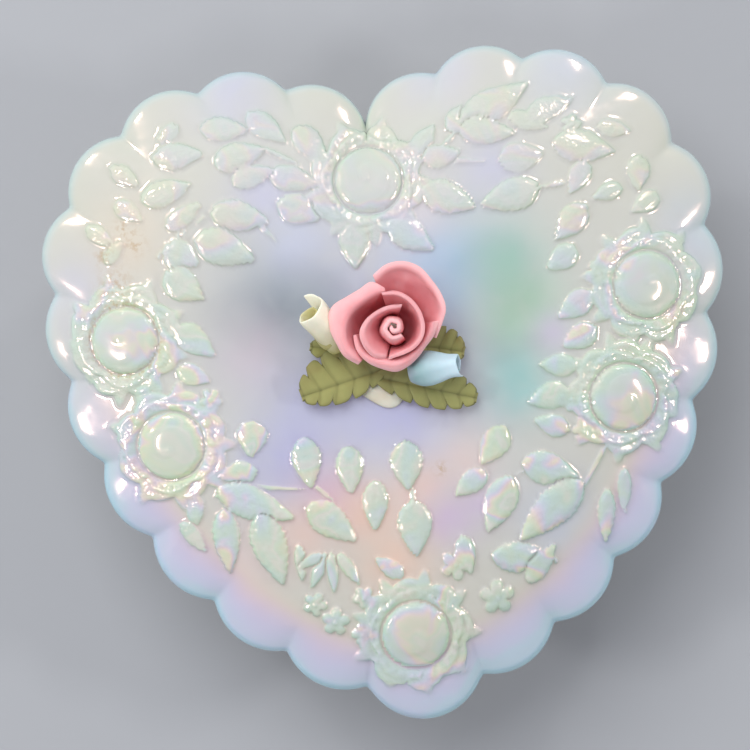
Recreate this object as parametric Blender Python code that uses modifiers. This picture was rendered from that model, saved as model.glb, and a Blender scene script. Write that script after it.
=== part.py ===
"""Heart-shaped trinket box in pressed milk glass.

A scalloped heart base and a loose scalloped lid, which lifts straight off. A hand-made clay
bouquet is glued to the crown of the lid: an open rose, two rolled buds and serrated leaves.
The box stands on z = 0, the heart's cleft points to +Y and its tip to -Y.
"""

import math

import bmesh
import bpy
from mathutils import Matrix, Vector

MM = 0.001

# Heart outline, measured along the line through the notches between the scallops
LOBE_RADIUS = 36.05 * MM
LOBE_OFFSET = 24.6 * MM
SIDE_RADIUS = 84.85 * MM
SCALLOPS_PER_SIDE = 11
TIP_SCALLOP_LENGTH = 23.0 * MM
SCALLOP_ARC_RADIUS = 12.66 * MM
TIP_ROUNDING = 0.4
STEPS_PER_SCALLOP = 4
CROWN_RADIUS = 50.0 * MM

# Heights
BASE_HEIGHT = 30.0 * MM
GAP = 0.3 * MM
LID_SEAT = BASE_HEIGHT + GAP
LID_RISE = 14.7 * MM
CROWN_HEIGHT = LID_SEAT + LID_RISE
LOCATING_RIM_DEPTH = 2.7 * MM
FLOOR_HEIGHT = 5.0 * MM
FOOT_RECESS = 1.5 * MM

# Clay bouquet: each layer stands on the one below it
PAD_RADIUS = 6.0 * MM
PAD_THICKNESS = 0.7 * MM
LEAF_THICKNESS = 0.8 * MM
PAD_BOTTOM = CROWN_HEIGHT + GAP
LEAF_BOTTOM = PAD_BOTTOM + PAD_THICKNESS + GAP
ROSE_BOTTOM = LEAF_BOTTOM + LEAF_THICKNESS + GAP
PETAL_THICKNESS = 0.7 * MM
ROSE_CENTRE = (1.1 * MM, 11.0 * MM)
ROSE_HEIGHT = 11.6 * MM
ROSE_CORE_RADIUS = 2.3 * MM

COLLECTION_NAME = "heart_trinket_box"

# Linear base colour, roughness and metallic value of each finish
MILK_GLASS = ("milk_glass", (0.72, 0.72, 0.70, 1.0), 0.18, 0.0)
GLUE = ("dried_glue", (0.62, 0.58, 0.50, 1.0), 0.45, 0.0)
PINK_CLAY = ("pink_clay", (0.72, 0.24, 0.27, 1.0), 0.5, 0.0)
CREAM_CLAY = ("cream_clay", (0.74, 0.72, 0.58, 1.0), 0.5, 0.0)
BLUE_CLAY = ("blue_clay", (0.42, 0.56, 0.62, 1.0), 0.5, 0.0)
LEAF_CLAY = ("olive_clay", (0.23, 0.23, 0.07, 1.0), 0.55, 0.0)


def clear_scene():
    """Empty the scene of its default objects."""
    for scene_object in list(bpy.data.objects):
        bpy.data.objects.remove(scene_object, do_unlink=True)


def make_collection(name):
    """Add a collection to the scene."""
    collection = bpy.data.collections.new(name)
    bpy.context.scene.collection.children.link(collection)
    return collection


def make_material(finish):
    """A Principled material from a (name, colour, roughness, metallic) finish."""
    name, colour, roughness, metallic = finish
    material = bpy.data.materials.new(name)
    material.use_nodes = True
    shader = material.node_tree.nodes["Principled BSDF"]
    shader.inputs["Base Color"].default_value = colour
    shader.inputs["Roughness"].default_value = roughness
    shader.inputs["Metallic"].default_value = metallic
    material.diffuse_color = colour
    return material


def add_object(name, data, finish):
    """Put mesh or curve data into the box's collection with its own material."""
    part = bpy.data.objects.new(name, data)
    data.materials.append(make_material((name + "_" + finish[0],) + finish[1:]))
    bpy.data.collections[COLLECTION_NAME].objects.link(part)
    return part


def add_empty(name, location):
    """An empty that carries a group of parts."""
    empty = bpy.data.objects.new(name, None)
    empty.location = location
    bpy.data.collections[COLLECTION_NAME].objects.link(empty)
    return empty


# ---- Heart geometry -------------------------------------------------------------------

def side_sweep():
    """Angle of the long side arc, from the tip to where it meets the lobe."""
    return math.acos((SIDE_RADIUS - LOBE_RADIUS - LOBE_OFFSET) / SIDE_RADIUS)


def lobe_sweep():
    """Angle of the lobe arc, from the side arc to the cleft."""
    return math.pi - math.acos(LOBE_OFFSET / LOBE_RADIUS)


def half_length():
    """Length of the right half of the outline, from tip to cleft."""
    return SIDE_RADIUS * side_sweep() + LOBE_RADIUS * lobe_sweep()


def heart_point(distance):
    """Point and outward direction at a distance from the tip along the right half."""
    side_length = SIDE_RADIUS * side_sweep()
    if distance < side_length:
        angle = distance / SIDE_RADIUS - side_sweep()
        centre = Vector((LOBE_OFFSET + LOBE_RADIUS - SIDE_RADIUS, 0.0))
        radius = SIDE_RADIUS
    else:
        angle = (distance - side_length) / LOBE_RADIUS
        centre = Vector((LOBE_OFFSET, 0.0))
        radius = LOBE_RADIUS
    outward = Vector((math.cos(angle), math.sin(angle)))
    return centre + outward * radius, outward


def arc_height(offset, half_chord):
    """Height of a scallop's arc above its chord, at an offset from its middle."""
    radius = SCALLOP_ARC_RADIUS
    return math.sqrt(radius**2 - offset**2) - math.sqrt(radius**2 - half_chord**2)


def half_outline():
    """Points, outward directions, scallop heights and their least share, tip to cleft.

    The plain heart keeps a share of the tip's arc, so that its point is round.
    """
    half_tip = TIP_SCALLOP_LENGTH / 2
    pitch = (half_length() - half_tip) / SCALLOPS_PER_SIDE
    notch, _ = heart_point(half_tip)
    samples = []
    for step in range(STEPS_PER_SCALLOP // 2):
        offset = half_tip * step / (STEPS_PER_SCALLOP // 2)
        point = Vector((notch.x * offset / half_tip, notch.y))
        rise = arc_height(offset, half_tip)
        samples.append((point, Vector((0.0, -1.0)), rise, TIP_ROUNDING))
    for step in range(SCALLOPS_PER_SIDE * STEPS_PER_SCALLOP + 1):
        distance = half_tip + pitch * step / STEPS_PER_SCALLOP
        offset = (step % STEPS_PER_SCALLOP / STEPS_PER_SCALLOP - 0.5) * pitch
        point, outward = heart_point(distance)
        samples.append((point, outward, arc_height(offset, pitch / 2), 0.0))
    samples[-1] = (Vector((0.0, samples[-1][0].y)), Vector((0.0, 1.0)), 0.0, 0.0)
    return samples


def full_outline():
    """The whole loop, counter-clockwise from the tip, centred on its own bounding box."""
    right = half_outline()
    mirror = Matrix.Diagonal((-1.0, 1.0))
    left = [(mirror @ point, mirror @ outward, *rest) for point, outward, *rest in right[1:-1]]
    loop = right + left[::-1]
    heights = [(point + outward * rise).y for point, outward, rise, _ in loop]
    middle = Vector((0.0, (max(heights) + min(heights)) / 2))
    return [(point - middle, *rest) for point, *rest in loop]


def heart_ring(scale, scallop, roundness, height):
    """One level of a loft: the heart scaled about the middle, with so much of its scallops.

    scallop 1 is the full arcs and 0 the plain heart; roundness turns the heart to a circle.
    """
    ring = []
    for point, outward, rise, least in full_outline():
        edge = point + outward * rise * (least + (1 - least) * scallop)
        level = edge.lerp(edge.normalized() * CROWN_RADIUS, roundness) * scale
        ring.append(Vector((level.x, level.y, height)))
    return ring


def loft(name, rings, first_pole, last_pole):
    """A closed solid through the rings, capped with fans at two points on the axis."""
    shape = bmesh.new()
    loops = [[shape.verts.new(point) for point in ring] for ring in rings]
    count = len(loops[0])
    for lower, upper in zip(loops, loops[1:]):
        for i in range(count):
            j = (i + 1) % count
            shape.faces.new((lower[i], lower[j], upper[j], upper[i]))
    first = shape.verts.new(first_pole)
    last = shape.verts.new(last_pole)
    for i in range(count):
        j = (i + 1) % count
        shape.faces.new((first, loops[0][j], loops[0][i]))
        shape.faces.new((last, loops[-1][i], loops[-1][j]))
    bmesh.ops.recalc_face_normals(shape, faces=shape.faces)
    mesh = bpy.data.meshes.new(name)
    shape.to_mesh(mesh)
    shape.free()
    mesh.shade_smooth()
    mesh.set_sharp_from_angle(angle=math.radians(35))
    return mesh


# ---- Glass --------------------------------------------------------------------------

def make_base():
    """Fluted heart bowl: foot ring, flaring wall, scalloped rim, plain inside."""
    z = BASE_HEIGHT
    levels = [
        (0.58, 0.0, 0.0, FOOT_RECESS),
        (0.60, 0.0, 0.0, 0.0),
        (0.67, 0.0, 0.0, 0.0),
        (0.69, 0.1, 0.0, 1.2 * MM),
        (0.76, 0.3, 0.0, 8.0 * MM),
        (0.86, 0.5, 0.0, 18.0 * MM),
        (0.95, 0.8, 0.0, z - 5.0 * MM),
        (0.995, 0.8, 0.0, z - 2.4 * MM),
        (1.0, 0.8, 0.0, z - 1.0 * MM),
        (0.988, 0.8, 0.0, z),
        (0.90, 0.0, 0.0, z),
        (0.892, 0.0, 0.0, z - 4.0 * MM),
        (0.81, 0.0, 0.0, 18.0 * MM),
        (0.70, 0.0, 0.0, 8.5 * MM),
        (0.62, 0.0, 0.0, FLOOR_HEIGHT),
        (0.30, 0.0, 0.0, FLOOR_HEIGHT),
    ]
    rings = [heart_ring(*level) for level in levels]
    recess = Vector((0.0, 0.0, FOOT_RECESS))
    floor = Vector((0.0, 0.0, FLOOR_HEIGHT))
    add_object("box_base", loft("box_base", rings, recess, floor), MILK_GLASS)


def make_lid(lid_frame):
    """Domed heart shell with a scalloped brim and a locating rim that drops into the base."""
    seat = LID_SEAT
    crown = CROWN_HEIGHT
    rim = seat - LOCATING_RIM_DEPTH
    levels = [
        (0.18, 0.0, 1.0, crown - 4.0 * MM),
        (0.42, 0.0, 0.6, crown - 4.7 * MM),
        (0.60, 0.0, 0.3, crown - 6.0 * MM),
        (0.75, 0.0, 0.0, crown - 8.6 * MM),
        (0.82, 0.0, 0.0, seat + 2.4 * MM),
        (0.83, 0.0, 0.0, rim),
        (0.865, 0.0, 0.0, rim),
        (0.87, 0.0, 0.0, seat),
        (0.983, 1.0, 0.0, seat),
        (1.0, 1.0, 0.0, seat + 1.0 * MM),
        (1.0, 1.0, 0.0, seat + 1.9 * MM),
        (0.985, 1.0, 0.0, seat + 3.0 * MM),
        (0.93, 0.7, 0.0, seat + 5.0 * MM),
        (0.86, 0.3, 0.0, seat + 7.5 * MM),
        (0.75, 0.0, 0.0, crown - 4.4 * MM),
        (0.60, 0.0, 0.3, crown - 2.0 * MM),
        (0.42, 0.0, 0.6, crown - 0.7 * MM),
        (0.18, 0.0, 1.0, crown - 0.1 * MM),
    ]
    rings = [heart_ring(*level) for level in levels]
    under = Vector((0.0, 0.0, crown - 3.9 * MM))
    top = Vector((0.0, 0.0, crown))
    lid = add_object("lid", loft("lid", rings, under, top), MILK_GLASS)
    lid.parent = lid_frame


# ---- Clay bouquet -------------------------------------------------------------------

def turned_solid(name, profile, finish, segments=24):
    """A solid turned about Z from (radius, height) points listed top to bottom."""
    mesh = bpy.data.meshes.new(name)
    points = [(radius, 0.0, height) for radius, height in profile]
    edges = [(i, i + 1) for i in range(len(points) - 1)]
    mesh.from_pydata(points, edges, [])
    solid = add_object(name, mesh, finish)
    screw = solid.modifiers.new("turn", "SCREW")
    screw.steps = segments
    screw.render_steps = segments
    screw.use_merge_vertices = True
    screw.merge_threshold = 0.00001
    screw.use_smooth_shade = True
    return solid


def rolled_sheet(name, rows, finish, thickness):
    """A clay sheet through rows of points, with its thickness put on by Solidify."""
    shape = bmesh.new()
    grid = [[shape.verts.new(point) for point in row] for row in rows]
    for lower, upper in zip(grid, grid[1:]):
        for i in range(len(lower) - 1):
            shape.faces.new((lower[i], lower[i + 1], upper[i + 1], upper[i]))
    mesh = bpy.data.meshes.new(name)
    shape.to_mesh(mesh)
    shape.free()
    mesh.shade_smooth()
    sheet = add_object(name, mesh, finish)
    solidify = sheet.modifiers.new("thickness", "SOLIDIFY")
    solidify.thickness = thickness
    solidify.offset = 0.0
    return sheet


def quadratic(values, t):
    """A smooth value through three evenly spaced ones."""
    first, middle, last = values
    return (first * (1 - t) * (1 - 2 * t) + 4 * middle * t * (1 - t) + last * t * (2 * t - 1))


def petal_rows(angles, lip_radii, base_radius, height, columns=12, rows=6):
    """Rows of a petal that wraps the rose's axis and flares out to its lip."""
    grid = []
    for row in range(rows):
        v = row / (rows - 1)
        line = []
        for column in range(columns):
            t = column / (columns - 1)
            angle = math.radians(angles[0] + (angles[1] - angles[0]) * t)
            lip = quadratic(lip_radii, t)
            radius = base_radius + (lip - base_radius) * v**2
            shoulder = 1 - 0.12 * (2 * t - 1) ** 4 * v
            z = PETAL_THICKNESS / 2 + height * math.sin(v * math.pi / 2) * shoulder
            line.append(Vector((radius * math.cos(angle), radius * math.sin(angle), z)))
        grid.append(line)
    return grid


# name, start and end angle, lip radius at start, middle and end, base radius, height
ROSE_PETALS = [
    ("rose_inner_petal_left", (67, 242), (4.4, 5.2, 5.4), 2.75, 10.4),
    ("rose_inner_petal_right", (-102, 98), (5.3, 5.3, 6.8), 3.75, 10.0),
    ("rose_front_petal", (190, 322), (6.7, 7.2, 6.6), 4.75, 9.2),
    ("rose_left_petal", (107, 216), (9.8, 11.4, 9.4), 5.85, 8.2),
    ("rose_back_petal", (-29, 101), (7.0, 11.8, 10.8), 4.75, 8.2),
]


def make_rose(bouquet):
    """Rolled core and five petals, each outside the last."""
    rose = add_empty("rose_frame", (ROSE_CENTRE[0], ROSE_CENTRE[1], ROSE_BOTTOM))
    rose.parent = bouquet
    r = ROSE_CORE_RADIUS
    h = ROSE_HEIGHT
    profile = [(0, h), (0.45 * r, h - 0.2 * MM), (0.85 * r, h - 0.9 * MM), (r, h - 2.4 * MM)]
    profile += [(0.95 * r, 0.5 * h), (0.75 * r, 0.2 * h), (0.6 * r, 0.0), (0, 0)]
    core = turned_solid("rose_core", profile, PINK_CLAY, 20)
    core.parent = rose
    for name, angles, lips, base_radius, height in ROSE_PETALS:
        lip_radii = [lip * MM for lip in lips]
        rows = petal_rows(angles, lip_radii, base_radius * MM, height * MM)
        petal = rolled_sheet(name, rows, PINK_CLAY, PETAL_THICKNESS)
        petal.parent = rose


def bud_rows(length, radii, sweep, columns=16, rows=6):
    """Rows of a clay sheet rolled into a bud about Z, its edges overlapping in a spiral."""
    overlap_step = PETAL_THICKNESS + GAP
    grid = []
    for row in range(rows):
        v = row / (rows - 1)
        line = []
        for column in range(columns):
            t = column / (columns - 1)
            angle = math.radians(sweep * (t - 0.5))
            radius = quadratic(radii, v) + overlap_step * (t - 0.5) * sweep / 360
            line.append(Vector((radius * math.cos(angle), radius * math.sin(angle), length * v)))
        grid.append(line)
    return grid


def make_bud(name, bouquet, finish, root, mouth, radii, sweep):
    """A rolled sheet about a solid core, aimed from its root to its mouth."""
    axis = Vector(mouth) - Vector(root)
    turn = axis.to_track_quat("Z", "X")
    length = axis.length
    rows = bud_rows(length, radii, sweep)
    wrap = rolled_sheet(name + "_wrap", rows, finish, PETAL_THICKNESS)
    wall = PETAL_THICKNESS + GAP + 0.2 * MM
    core_radii = [radius - wall - PETAL_THICKNESS / 2 for radius in radii]
    top = 0.9 * length
    profile = [(0, top)]
    for step in range(5):
        v = 0.88 - 0.86 * step / 4
        profile.append((max(quadratic(core_radii, v), 0.3 * MM), v * length))
    profile.append((0, profile[-1][1]))
    core = turned_solid(name + "_core", profile, finish, 14)
    for piece in (wrap, core):
        piece.parent = bouquet
        piece.location = root
        piece.rotation_mode = "QUATERNION"
        piece.rotation_quaternion = turn


def leaf_outline(length, width, teeth):
    """A serrated leaf along +X: saw teeth on both edges, a blunt tip."""
    upper = []
    for tooth in range(teeth):
        for inside, t in ((1.0, tooth / teeth), (0.78, (tooth + 0.12) / teeth)):
            x = length * t
            y = width / 2 * math.sin(math.pi * (0.12 + 0.83 * t)) ** 0.8
            upper.append((x, y * inside))
    tip = [(length, 0.0)]
    lower = [(x, -y) for x, y in reversed(upper)]
    return upper + tip + lower


def make_leaf(name, bouquet, root, tip, width, teeth):
    """A flat clay leaf from its root to its tip."""
    root = Vector(root)
    run = Vector(tip) - root
    curve = bpy.data.curves.new(name, "CURVE")
    curve.dimensions = "2D"
    curve.fill_mode = "BOTH"
    curve.extrude = LEAF_THICKNESS / 2
    spline = curve.splines.new("POLY")
    outline = leaf_outline(run.length, width, teeth)
    spline.points.add(len(outline) - 1)
    for point, (x, y) in zip(spline.points, outline):
        point.co = (x, y, 0.0, 1.0)
    spline.use_cyclic_u = True
    leaf = add_object(name, curve, LEAF_CLAY)
    leaf.parent = bouquet
    leaf.location = (root.x, root.y, LEAF_BOTTOM + LEAF_THICKNESS / 2)
    leaf.rotation_euler = (0.0, 0.0, math.atan2(run.y, run.x))


# name, root, tip, width, teeth; millimetres on the crown
LEAVES = [
    ("leaf_lower_left", (-3.2, 3.6), (-17.0, 1.2), 7.8, 5),
    ("leaf_lower_right", (0.6, 3.0), (14.8, -4.2), 6.4, 5),
    ("leaf_upper_right", (6.6, 7.6), (14.0, 5.4), 6.4, 3),
    ("leaf_upper_left", (-8.2, 9.7), (-15.0, 8.5), 3.4, 3),
]


def make_bouquet(lid_frame):
    """Glue pad, leaves, two buds and the rose, standing on the lid's crown."""
    bouquet = add_empty("bouquet_frame", (0.0, 0.0, 0.0))
    bouquet.parent = lid_frame
    r = PAD_RADIUS
    pad_profile = [(0, PAD_THICKNESS), (0.7 * r, PAD_THICKNESS), (r, 0.3 * MM), (r, 0), (0, 0)]
    pad = turned_solid("glue_pad", pad_profile, GLUE)
    pad.parent = bouquet
    pad.location = (0.6 * MM, 8.6 * MM, PAD_BOTTOM)
    for name, root, tip, width, teeth in LEAVES:
        ends = [(x * MM, y * MM) for x, y in (root, tip)]
        make_leaf(name, bouquet, ends[0], ends[1], width * MM, teeth)
    above = ROSE_BOTTOM
    cream_root = (-9.2 * MM, 9.6 * MM, above + 3.4 * MM)
    cream_mouth = (-15.8 * MM, 17.4 * MM, above + 6.6 * MM)
    cream_radii = (1.6 * MM, 2.6 * MM, 2.4 * MM)
    make_bud("cream_bud", bouquet, CREAM_CLAY, cream_root, cream_mouth, cream_radii, 470)
    blue_root = (4.4 * MM, 2.5 * MM, above + 3.0 * MM)
    blue_mouth = (13.6 * MM, 2.4 * MM, above + 4.4 * MM)
    blue_radii = (1.8 * MM, 2.7 * MM, 2.1 * MM)
    make_bud("blue_bud", bouquet, BLUE_CLAY, blue_root, blue_mouth, blue_radii, 450)
    make_rose(bouquet)


def main():
    clear_scene()
    make_collection(COLLECTION_NAME)
    make_base()
    lid_frame = add_empty("lid_frame", (0.0, 0.0, 0.0))
    make_lid(lid_frame)
    make_bouquet(lid_frame)


main()
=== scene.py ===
# %% [markdown]
# # A heart-shaped trinket box in pressed milk glass
#
# The real box is two pressings of opal glass, a bowl and a loose lid, with a pearly lustre fired on.
# A clay rose with two buds and four leaves is glued to the crown of the lid. This lesson rebuilds
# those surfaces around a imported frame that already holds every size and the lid's joint. Each step
# says what the piece is on the real box, how it could be made, and why it is made this way.

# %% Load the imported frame
import math

import bmesh
import bpy
import numpy as np
from mathutils import Matrix, Vector


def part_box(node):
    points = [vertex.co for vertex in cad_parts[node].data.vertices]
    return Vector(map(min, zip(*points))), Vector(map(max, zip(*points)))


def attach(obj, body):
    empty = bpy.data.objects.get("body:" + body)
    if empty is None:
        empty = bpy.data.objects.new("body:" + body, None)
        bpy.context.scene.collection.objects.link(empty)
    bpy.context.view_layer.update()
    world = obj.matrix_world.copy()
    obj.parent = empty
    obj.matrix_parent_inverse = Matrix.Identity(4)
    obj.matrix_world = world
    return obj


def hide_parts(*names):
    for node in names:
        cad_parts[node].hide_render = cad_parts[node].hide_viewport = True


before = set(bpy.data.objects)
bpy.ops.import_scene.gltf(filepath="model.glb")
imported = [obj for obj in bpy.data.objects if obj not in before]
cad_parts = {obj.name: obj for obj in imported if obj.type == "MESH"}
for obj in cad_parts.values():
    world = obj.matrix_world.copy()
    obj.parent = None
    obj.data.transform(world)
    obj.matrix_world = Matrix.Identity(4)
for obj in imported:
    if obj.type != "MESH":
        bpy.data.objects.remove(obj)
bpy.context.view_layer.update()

MM = 0.001

# %% [markdown]
# ## Camera, table and light
#
# The box is looked at from straight above, turned a few degrees, through a long lens that hardly
# widens what is nearer. A pale grey table lets white glass stand out. A large soft lamp gives shade,
# and small bright windows give the crisp glints that make pressed glass read as glass.

# %% Place the camera
VIEW_TURN = math.radians(-6.15)
VIEW_CENTRE = (-3.2 * MM, 2.9 * MM)
VIEW_WIDTH = 139.9 * MM
RIM_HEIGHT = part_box("box_base")[1][2]
CAMERA_DISTANCE = 0.7


def place_camera():
    """Look straight down, so that VIEW_WIDTH at the height of the rim fills the frame."""
    camera_data = bpy.data.cameras.new("camera")
    camera_data.angle = 2 * math.atan(VIEW_WIDTH / 2 / CAMERA_DISTANCE)
    camera_data.clip_start = 0.01
    camera = bpy.data.objects.new("camera", camera_data)
    camera.location = (*VIEW_CENTRE, RIM_HEIGHT + CAMERA_DISTANCE)
    camera.rotation_euler = (0.0, 0.0, VIEW_TURN)
    bpy.context.scene.collection.objects.link(camera)
    bpy.context.scene.camera = camera
    return camera


camera = place_camera()
print("camera lens", round(camera.data.lens), "mm")

# %% [markdown]
# Four small helpers keep the later steps short. A material starts from Blender's Principled shader,
# a mesh goes into the scene at the origin, a node's inputs are set by name, and one number for each
# vertex is kept on the mesh, so that nodes can read it under a name.

# %% Helpers for materials and meshes


def new_material(name):
    """An empty node material with its Principled shader."""
    material = bpy.data.materials.new(name)
    material.use_nodes = True
    return material, material.node_tree, material.node_tree.nodes["Principled BSDF"]


def link_object(name, mesh):
    """Put a mesh into the scene at the origin."""
    made = bpy.data.objects.new(name, mesh)
    bpy.context.scene.collection.objects.link(made)
    return made


def set_inputs(node, values):
    """Set a node's inputs to plain values, by name."""
    for label, value in values.items():
        node.inputs[label].default_value = value


def store_values(mesh, name, values):
    """Keep one number for each vertex of a mesh under a name."""
    layer = mesh.attributes.new(name, "FLOAT", "POINT")
    layer.data.foreach_set("value", np.ascontiguousarray(values, np.float32))


print("helpers ready for materials and meshes")

# %% [markdown]
# White glass needs both shade and sparkle. The ceiling lamp gives the shade but is hidden from
# reflections, since a broad mirror image would wash the pattern out. The glints come from the four
# small windows round it, and a room that is dimmer overhead keeps the flat crown from glaring.

# %% Lay the table and hang the lights
TABLE_SIZE = 4.0
TABLE_COLOUR = (0.40, 0.41, 0.43, 1.0)
# name, width and height of the window, place, power
WINDOWS = [
    ("ceiling", 0.9, 0.9, (-0.3, 0.6, 1.1), 11.0),
    ("left_window", 0.12, 0.03, (-0.58, -0.10, 0.44), 1.0),
    ("right_window", 0.12, 0.03, (0.58, -0.08, 0.42), 1.0),
    ("back_left_window", 0.06, 0.03, (-0.42, 0.46, 0.42), 0.5),
    ("back_right_window", 0.06, 0.03, (0.34, 0.52, 0.42), 0.5),
]
ROOM_STRENGTH = 0.95
# where the room's glow turns, as the height of a direction, and its colour there
HORIZON = (0.62, (0.46, 0.46, 0.48, 1.0))
OVERHEAD = (0.97, (0.28, 0.30, 0.36, 1.0))


def lay_table():
    """A pale, plain table under the box."""
    shape = bmesh.new()
    bmesh.ops.create_grid(shape, x_segments=1, y_segments=1, size=TABLE_SIZE / 2)
    mesh = bpy.data.meshes.new("table")
    shape.to_mesh(mesh)
    shape.free()
    material, _, shader = new_material("table_paint")
    set_inputs(shader, {"Base Color": TABLE_COLOUR, "Roughness": 0.7})
    mesh.materials.append(material)
    table = link_object("table", mesh)
    return table


def hang_windows():
    """Area lights, each aimed at the lid; the ceiling gives shade but no reflection."""
    aim = Vector((0.0, 0.0, RIM_HEIGHT))
    for name, width, height, place, power in WINDOWS:
        lamp_data = bpy.data.lights.new(name, "AREA")
        lamp_data.shape = "RECTANGLE"
        lamp_data.size = width
        lamp_data.size_y = height
        lamp_data.energy = power
        lamp = bpy.data.objects.new(name, lamp_data)
        lamp.location = place
        lamp.rotation_euler = (Vector(place) - aim).to_track_quat("Z", "Y").to_euler()
        lamp.visible_glossy = name != "ceiling"
        bpy.context.scene.collection.objects.link(lamp)


def light_room():
    """An even glow from all round, dimmer and cooler straight overhead."""
    world = bpy.data.worlds.new("room")
    world.use_nodes = True
    tree = world.node_tree
    background = tree.nodes["Background"]
    direction = tree.nodes.new("ShaderNodeTexCoord").outputs["Generated"]
    split = tree.nodes.new("ShaderNodeSeparateXYZ")
    tree.links.new(direction, split.inputs[0])
    ramp = tree.nodes.new("ShaderNodeValToRGB")
    ramp.color_ramp.interpolation = "EASE"
    for element, (position, colour) in zip(ramp.color_ramp.elements, (HORIZON, OVERHEAD)):
        element.position = position
        element.color = colour
    tree.links.new(split.outputs["Z"], ramp.inputs["Fac"])
    tree.links.new(ramp.outputs["Color"], background.inputs["Color"])
    background.inputs["Strength"].default_value = ROOM_STRENGTH
    bpy.context.scene.world = world


lay_table()
hang_windows()
light_room()
bpy.context.scene.view_settings.view_transform = "Standard"
print("lights:", ", ".join(window[0] for window in WINDOWS))

# %% [markdown]
# ## The heart and its scallops
#
# The real outline is pressed in a mould cut with round tools, so it is made of arcs. Each half is two
# arcs that meet smoothly: a lobe and a long, nearly straight side. Eleven scallops of one radius sit
# on each half and one more on the tip. A drawn curve could be traced, but arcs give the same
# line at any number of points, and every level of the bowl and lid can be worked out from it.

# %% Work out the outline
# in mm, but for the number of scallops
LOBE_RADIUS = 36.05
LOBE_OFFSET = 24.6
SIDE_RADIUS = 84.85
SCALLOPS_PER_SIDE = 11
TIP_LENGTH = 23.0
SCALLOP_RADIUS = 12.66
NOTCH_FILL = 0.35
CROWN_RADIUS = 50.0
# the share of the tip's scallop that the plain heart keeps, and the glass's share of its CAD box
TIP_ROUNDING = 0.4
CLEARANCE = 0.998


def heart_points(distance):
    """Points and outward directions, in mm, at distances along the right half from the tip."""
    side_sweep = math.acos((SIDE_RADIUS - LOBE_RADIUS - LOBE_OFFSET) / SIDE_RADIUS)
    side_length = SIDE_RADIUS * side_sweep
    on_side = distance < side_length
    angle = np.where(
        on_side,
        distance / SIDE_RADIUS - side_sweep,
        (distance - side_length) / LOBE_RADIUS,
    )
    radius = np.where(on_side, SIDE_RADIUS, LOBE_RADIUS)
    centre = np.where(on_side, LOBE_OFFSET + LOBE_RADIUS - SIDE_RADIUS, LOBE_OFFSET)
    outward = np.stack([np.cos(angle), np.sin(angle)], axis=1)
    point = outward * radius[:, None]
    point[:, 0] += centre
    return point, outward


def arc_height(offset, half_chord):
    """Height of a scallop's arc over its chord, its foot rounded into the notch."""
    radius = SCALLOP_RADIUS
    rise = np.sqrt(radius**2 - offset**2) - math.sqrt(radius**2 - half_chord**2)
    return np.sqrt(rise**2 + NOTCH_FILL**2)


def heart_outline(steps):
    """The closed outline from the tip, counter-clockwise, with so many steps a scallop.

    Returns points on the notch line, outward directions, scallop heights and the share of
    the height that even the plain heart keeps.
    """
    half_tip = TIP_LENGTH / 2
    side_sweep = math.acos((SIDE_RADIUS - LOBE_RADIUS - LOBE_OFFSET) / SIDE_RADIUS)
    lobe_sweep = math.pi - math.acos(LOBE_OFFSET / LOBE_RADIUS)
    half_length = SIDE_RADIUS * side_sweep + LOBE_RADIUS * lobe_sweep
    pitch = (half_length - half_tip) / SCALLOPS_PER_SIDE

    tip_offset = half_tip * np.arange(steps // 2) / (steps // 2)
    notch = heart_points(np.array([half_tip]))[0][0]
    tip_point = np.stack([notch[0] * tip_offset / half_tip, np.full(steps // 2, notch[1])], 1)
    tip_outward = np.tile([0.0, -1.0], (steps // 2, 1))

    step = np.arange(SCALLOPS_PER_SIDE * steps + 1)
    point, outward = heart_points(half_tip + pitch * step / steps)
    offset = (step % steps / steps - 0.5) * pitch
    point[-1, 0] = 0.0
    outward[-1] = (0.0, 1.0)

    points = np.concatenate([tip_point, point])
    outwards = np.concatenate([tip_outward, outward])
    rises = np.concatenate([arc_height(tip_offset, half_tip), arc_height(offset, pitch / 2)])
    rises[-1] = NOTCH_FILL
    least = np.concatenate([np.full(steps // 2, TIP_ROUNDING), np.zeros(len(step))])
    flip = np.array([-1.0, 1.0])
    points = np.concatenate([points, (points[1:-1] * flip)[::-1]])
    outwards = np.concatenate([outwards, (outwards[1:-1] * flip)[::-1]])
    rises = np.concatenate([rises, rises[1:-1][::-1]])
    least = np.concatenate([least, least[1:-1][::-1]])
    tops = points[:, 1] + outwards[:, 1] * rises
    points[:, 1] -= (tops.max() + tops.min()) / 2
    return points, outwards, rises, least


outline_check = heart_outline(40)

# %% [markdown]
# A bowl or a lid is a loft: a stack of such outlines. Each level says how large the heart is, how
# much of its scallops it keeps, how far it has rounded off towards a circle, and its height. The
# number of points round a level may halve from one to the next, so that flat inner levels stay light
# while the rim and the pressed pattern stay fine.

# %% Loft levels into a mesh


def soften_loop(points, reach):
    """A closed loop of points smoothed over a reach in mm."""
    loop = points[:, 0] + 1j * points[:, 1]
    length = np.abs(np.diff(loop, append=loop[:1])).sum()
    wave = np.fft.fftfreq(len(loop), 1 / len(loop))
    loop = np.fft.ifft(np.fft.fft(loop) * np.exp(-0.5 * (2 * np.pi * wave * reach / length) ** 2))
    return np.column_stack([loop.real, loop.imag])


def level_ring(outline, scale, scallop, roundness, height, reach=0.0):
    """One level in mm, an (n, 3) array; reach is how far its cleft and tip are softened."""
    points, outwards, rises, least = outline
    points = soften_loop(points, reach) * CLEARANCE
    edge = points + outwards * (rises * (least + (1 - least) * scallop))[:, None]
    circle = edge / np.linalg.norm(edge, axis=1)[:, None] * CROWN_RADIUS
    flat = (edge * (1 - roundness) + circle * roundness) * scale
    return np.column_stack([flat, np.broadcast_to(height, len(flat))])


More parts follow.
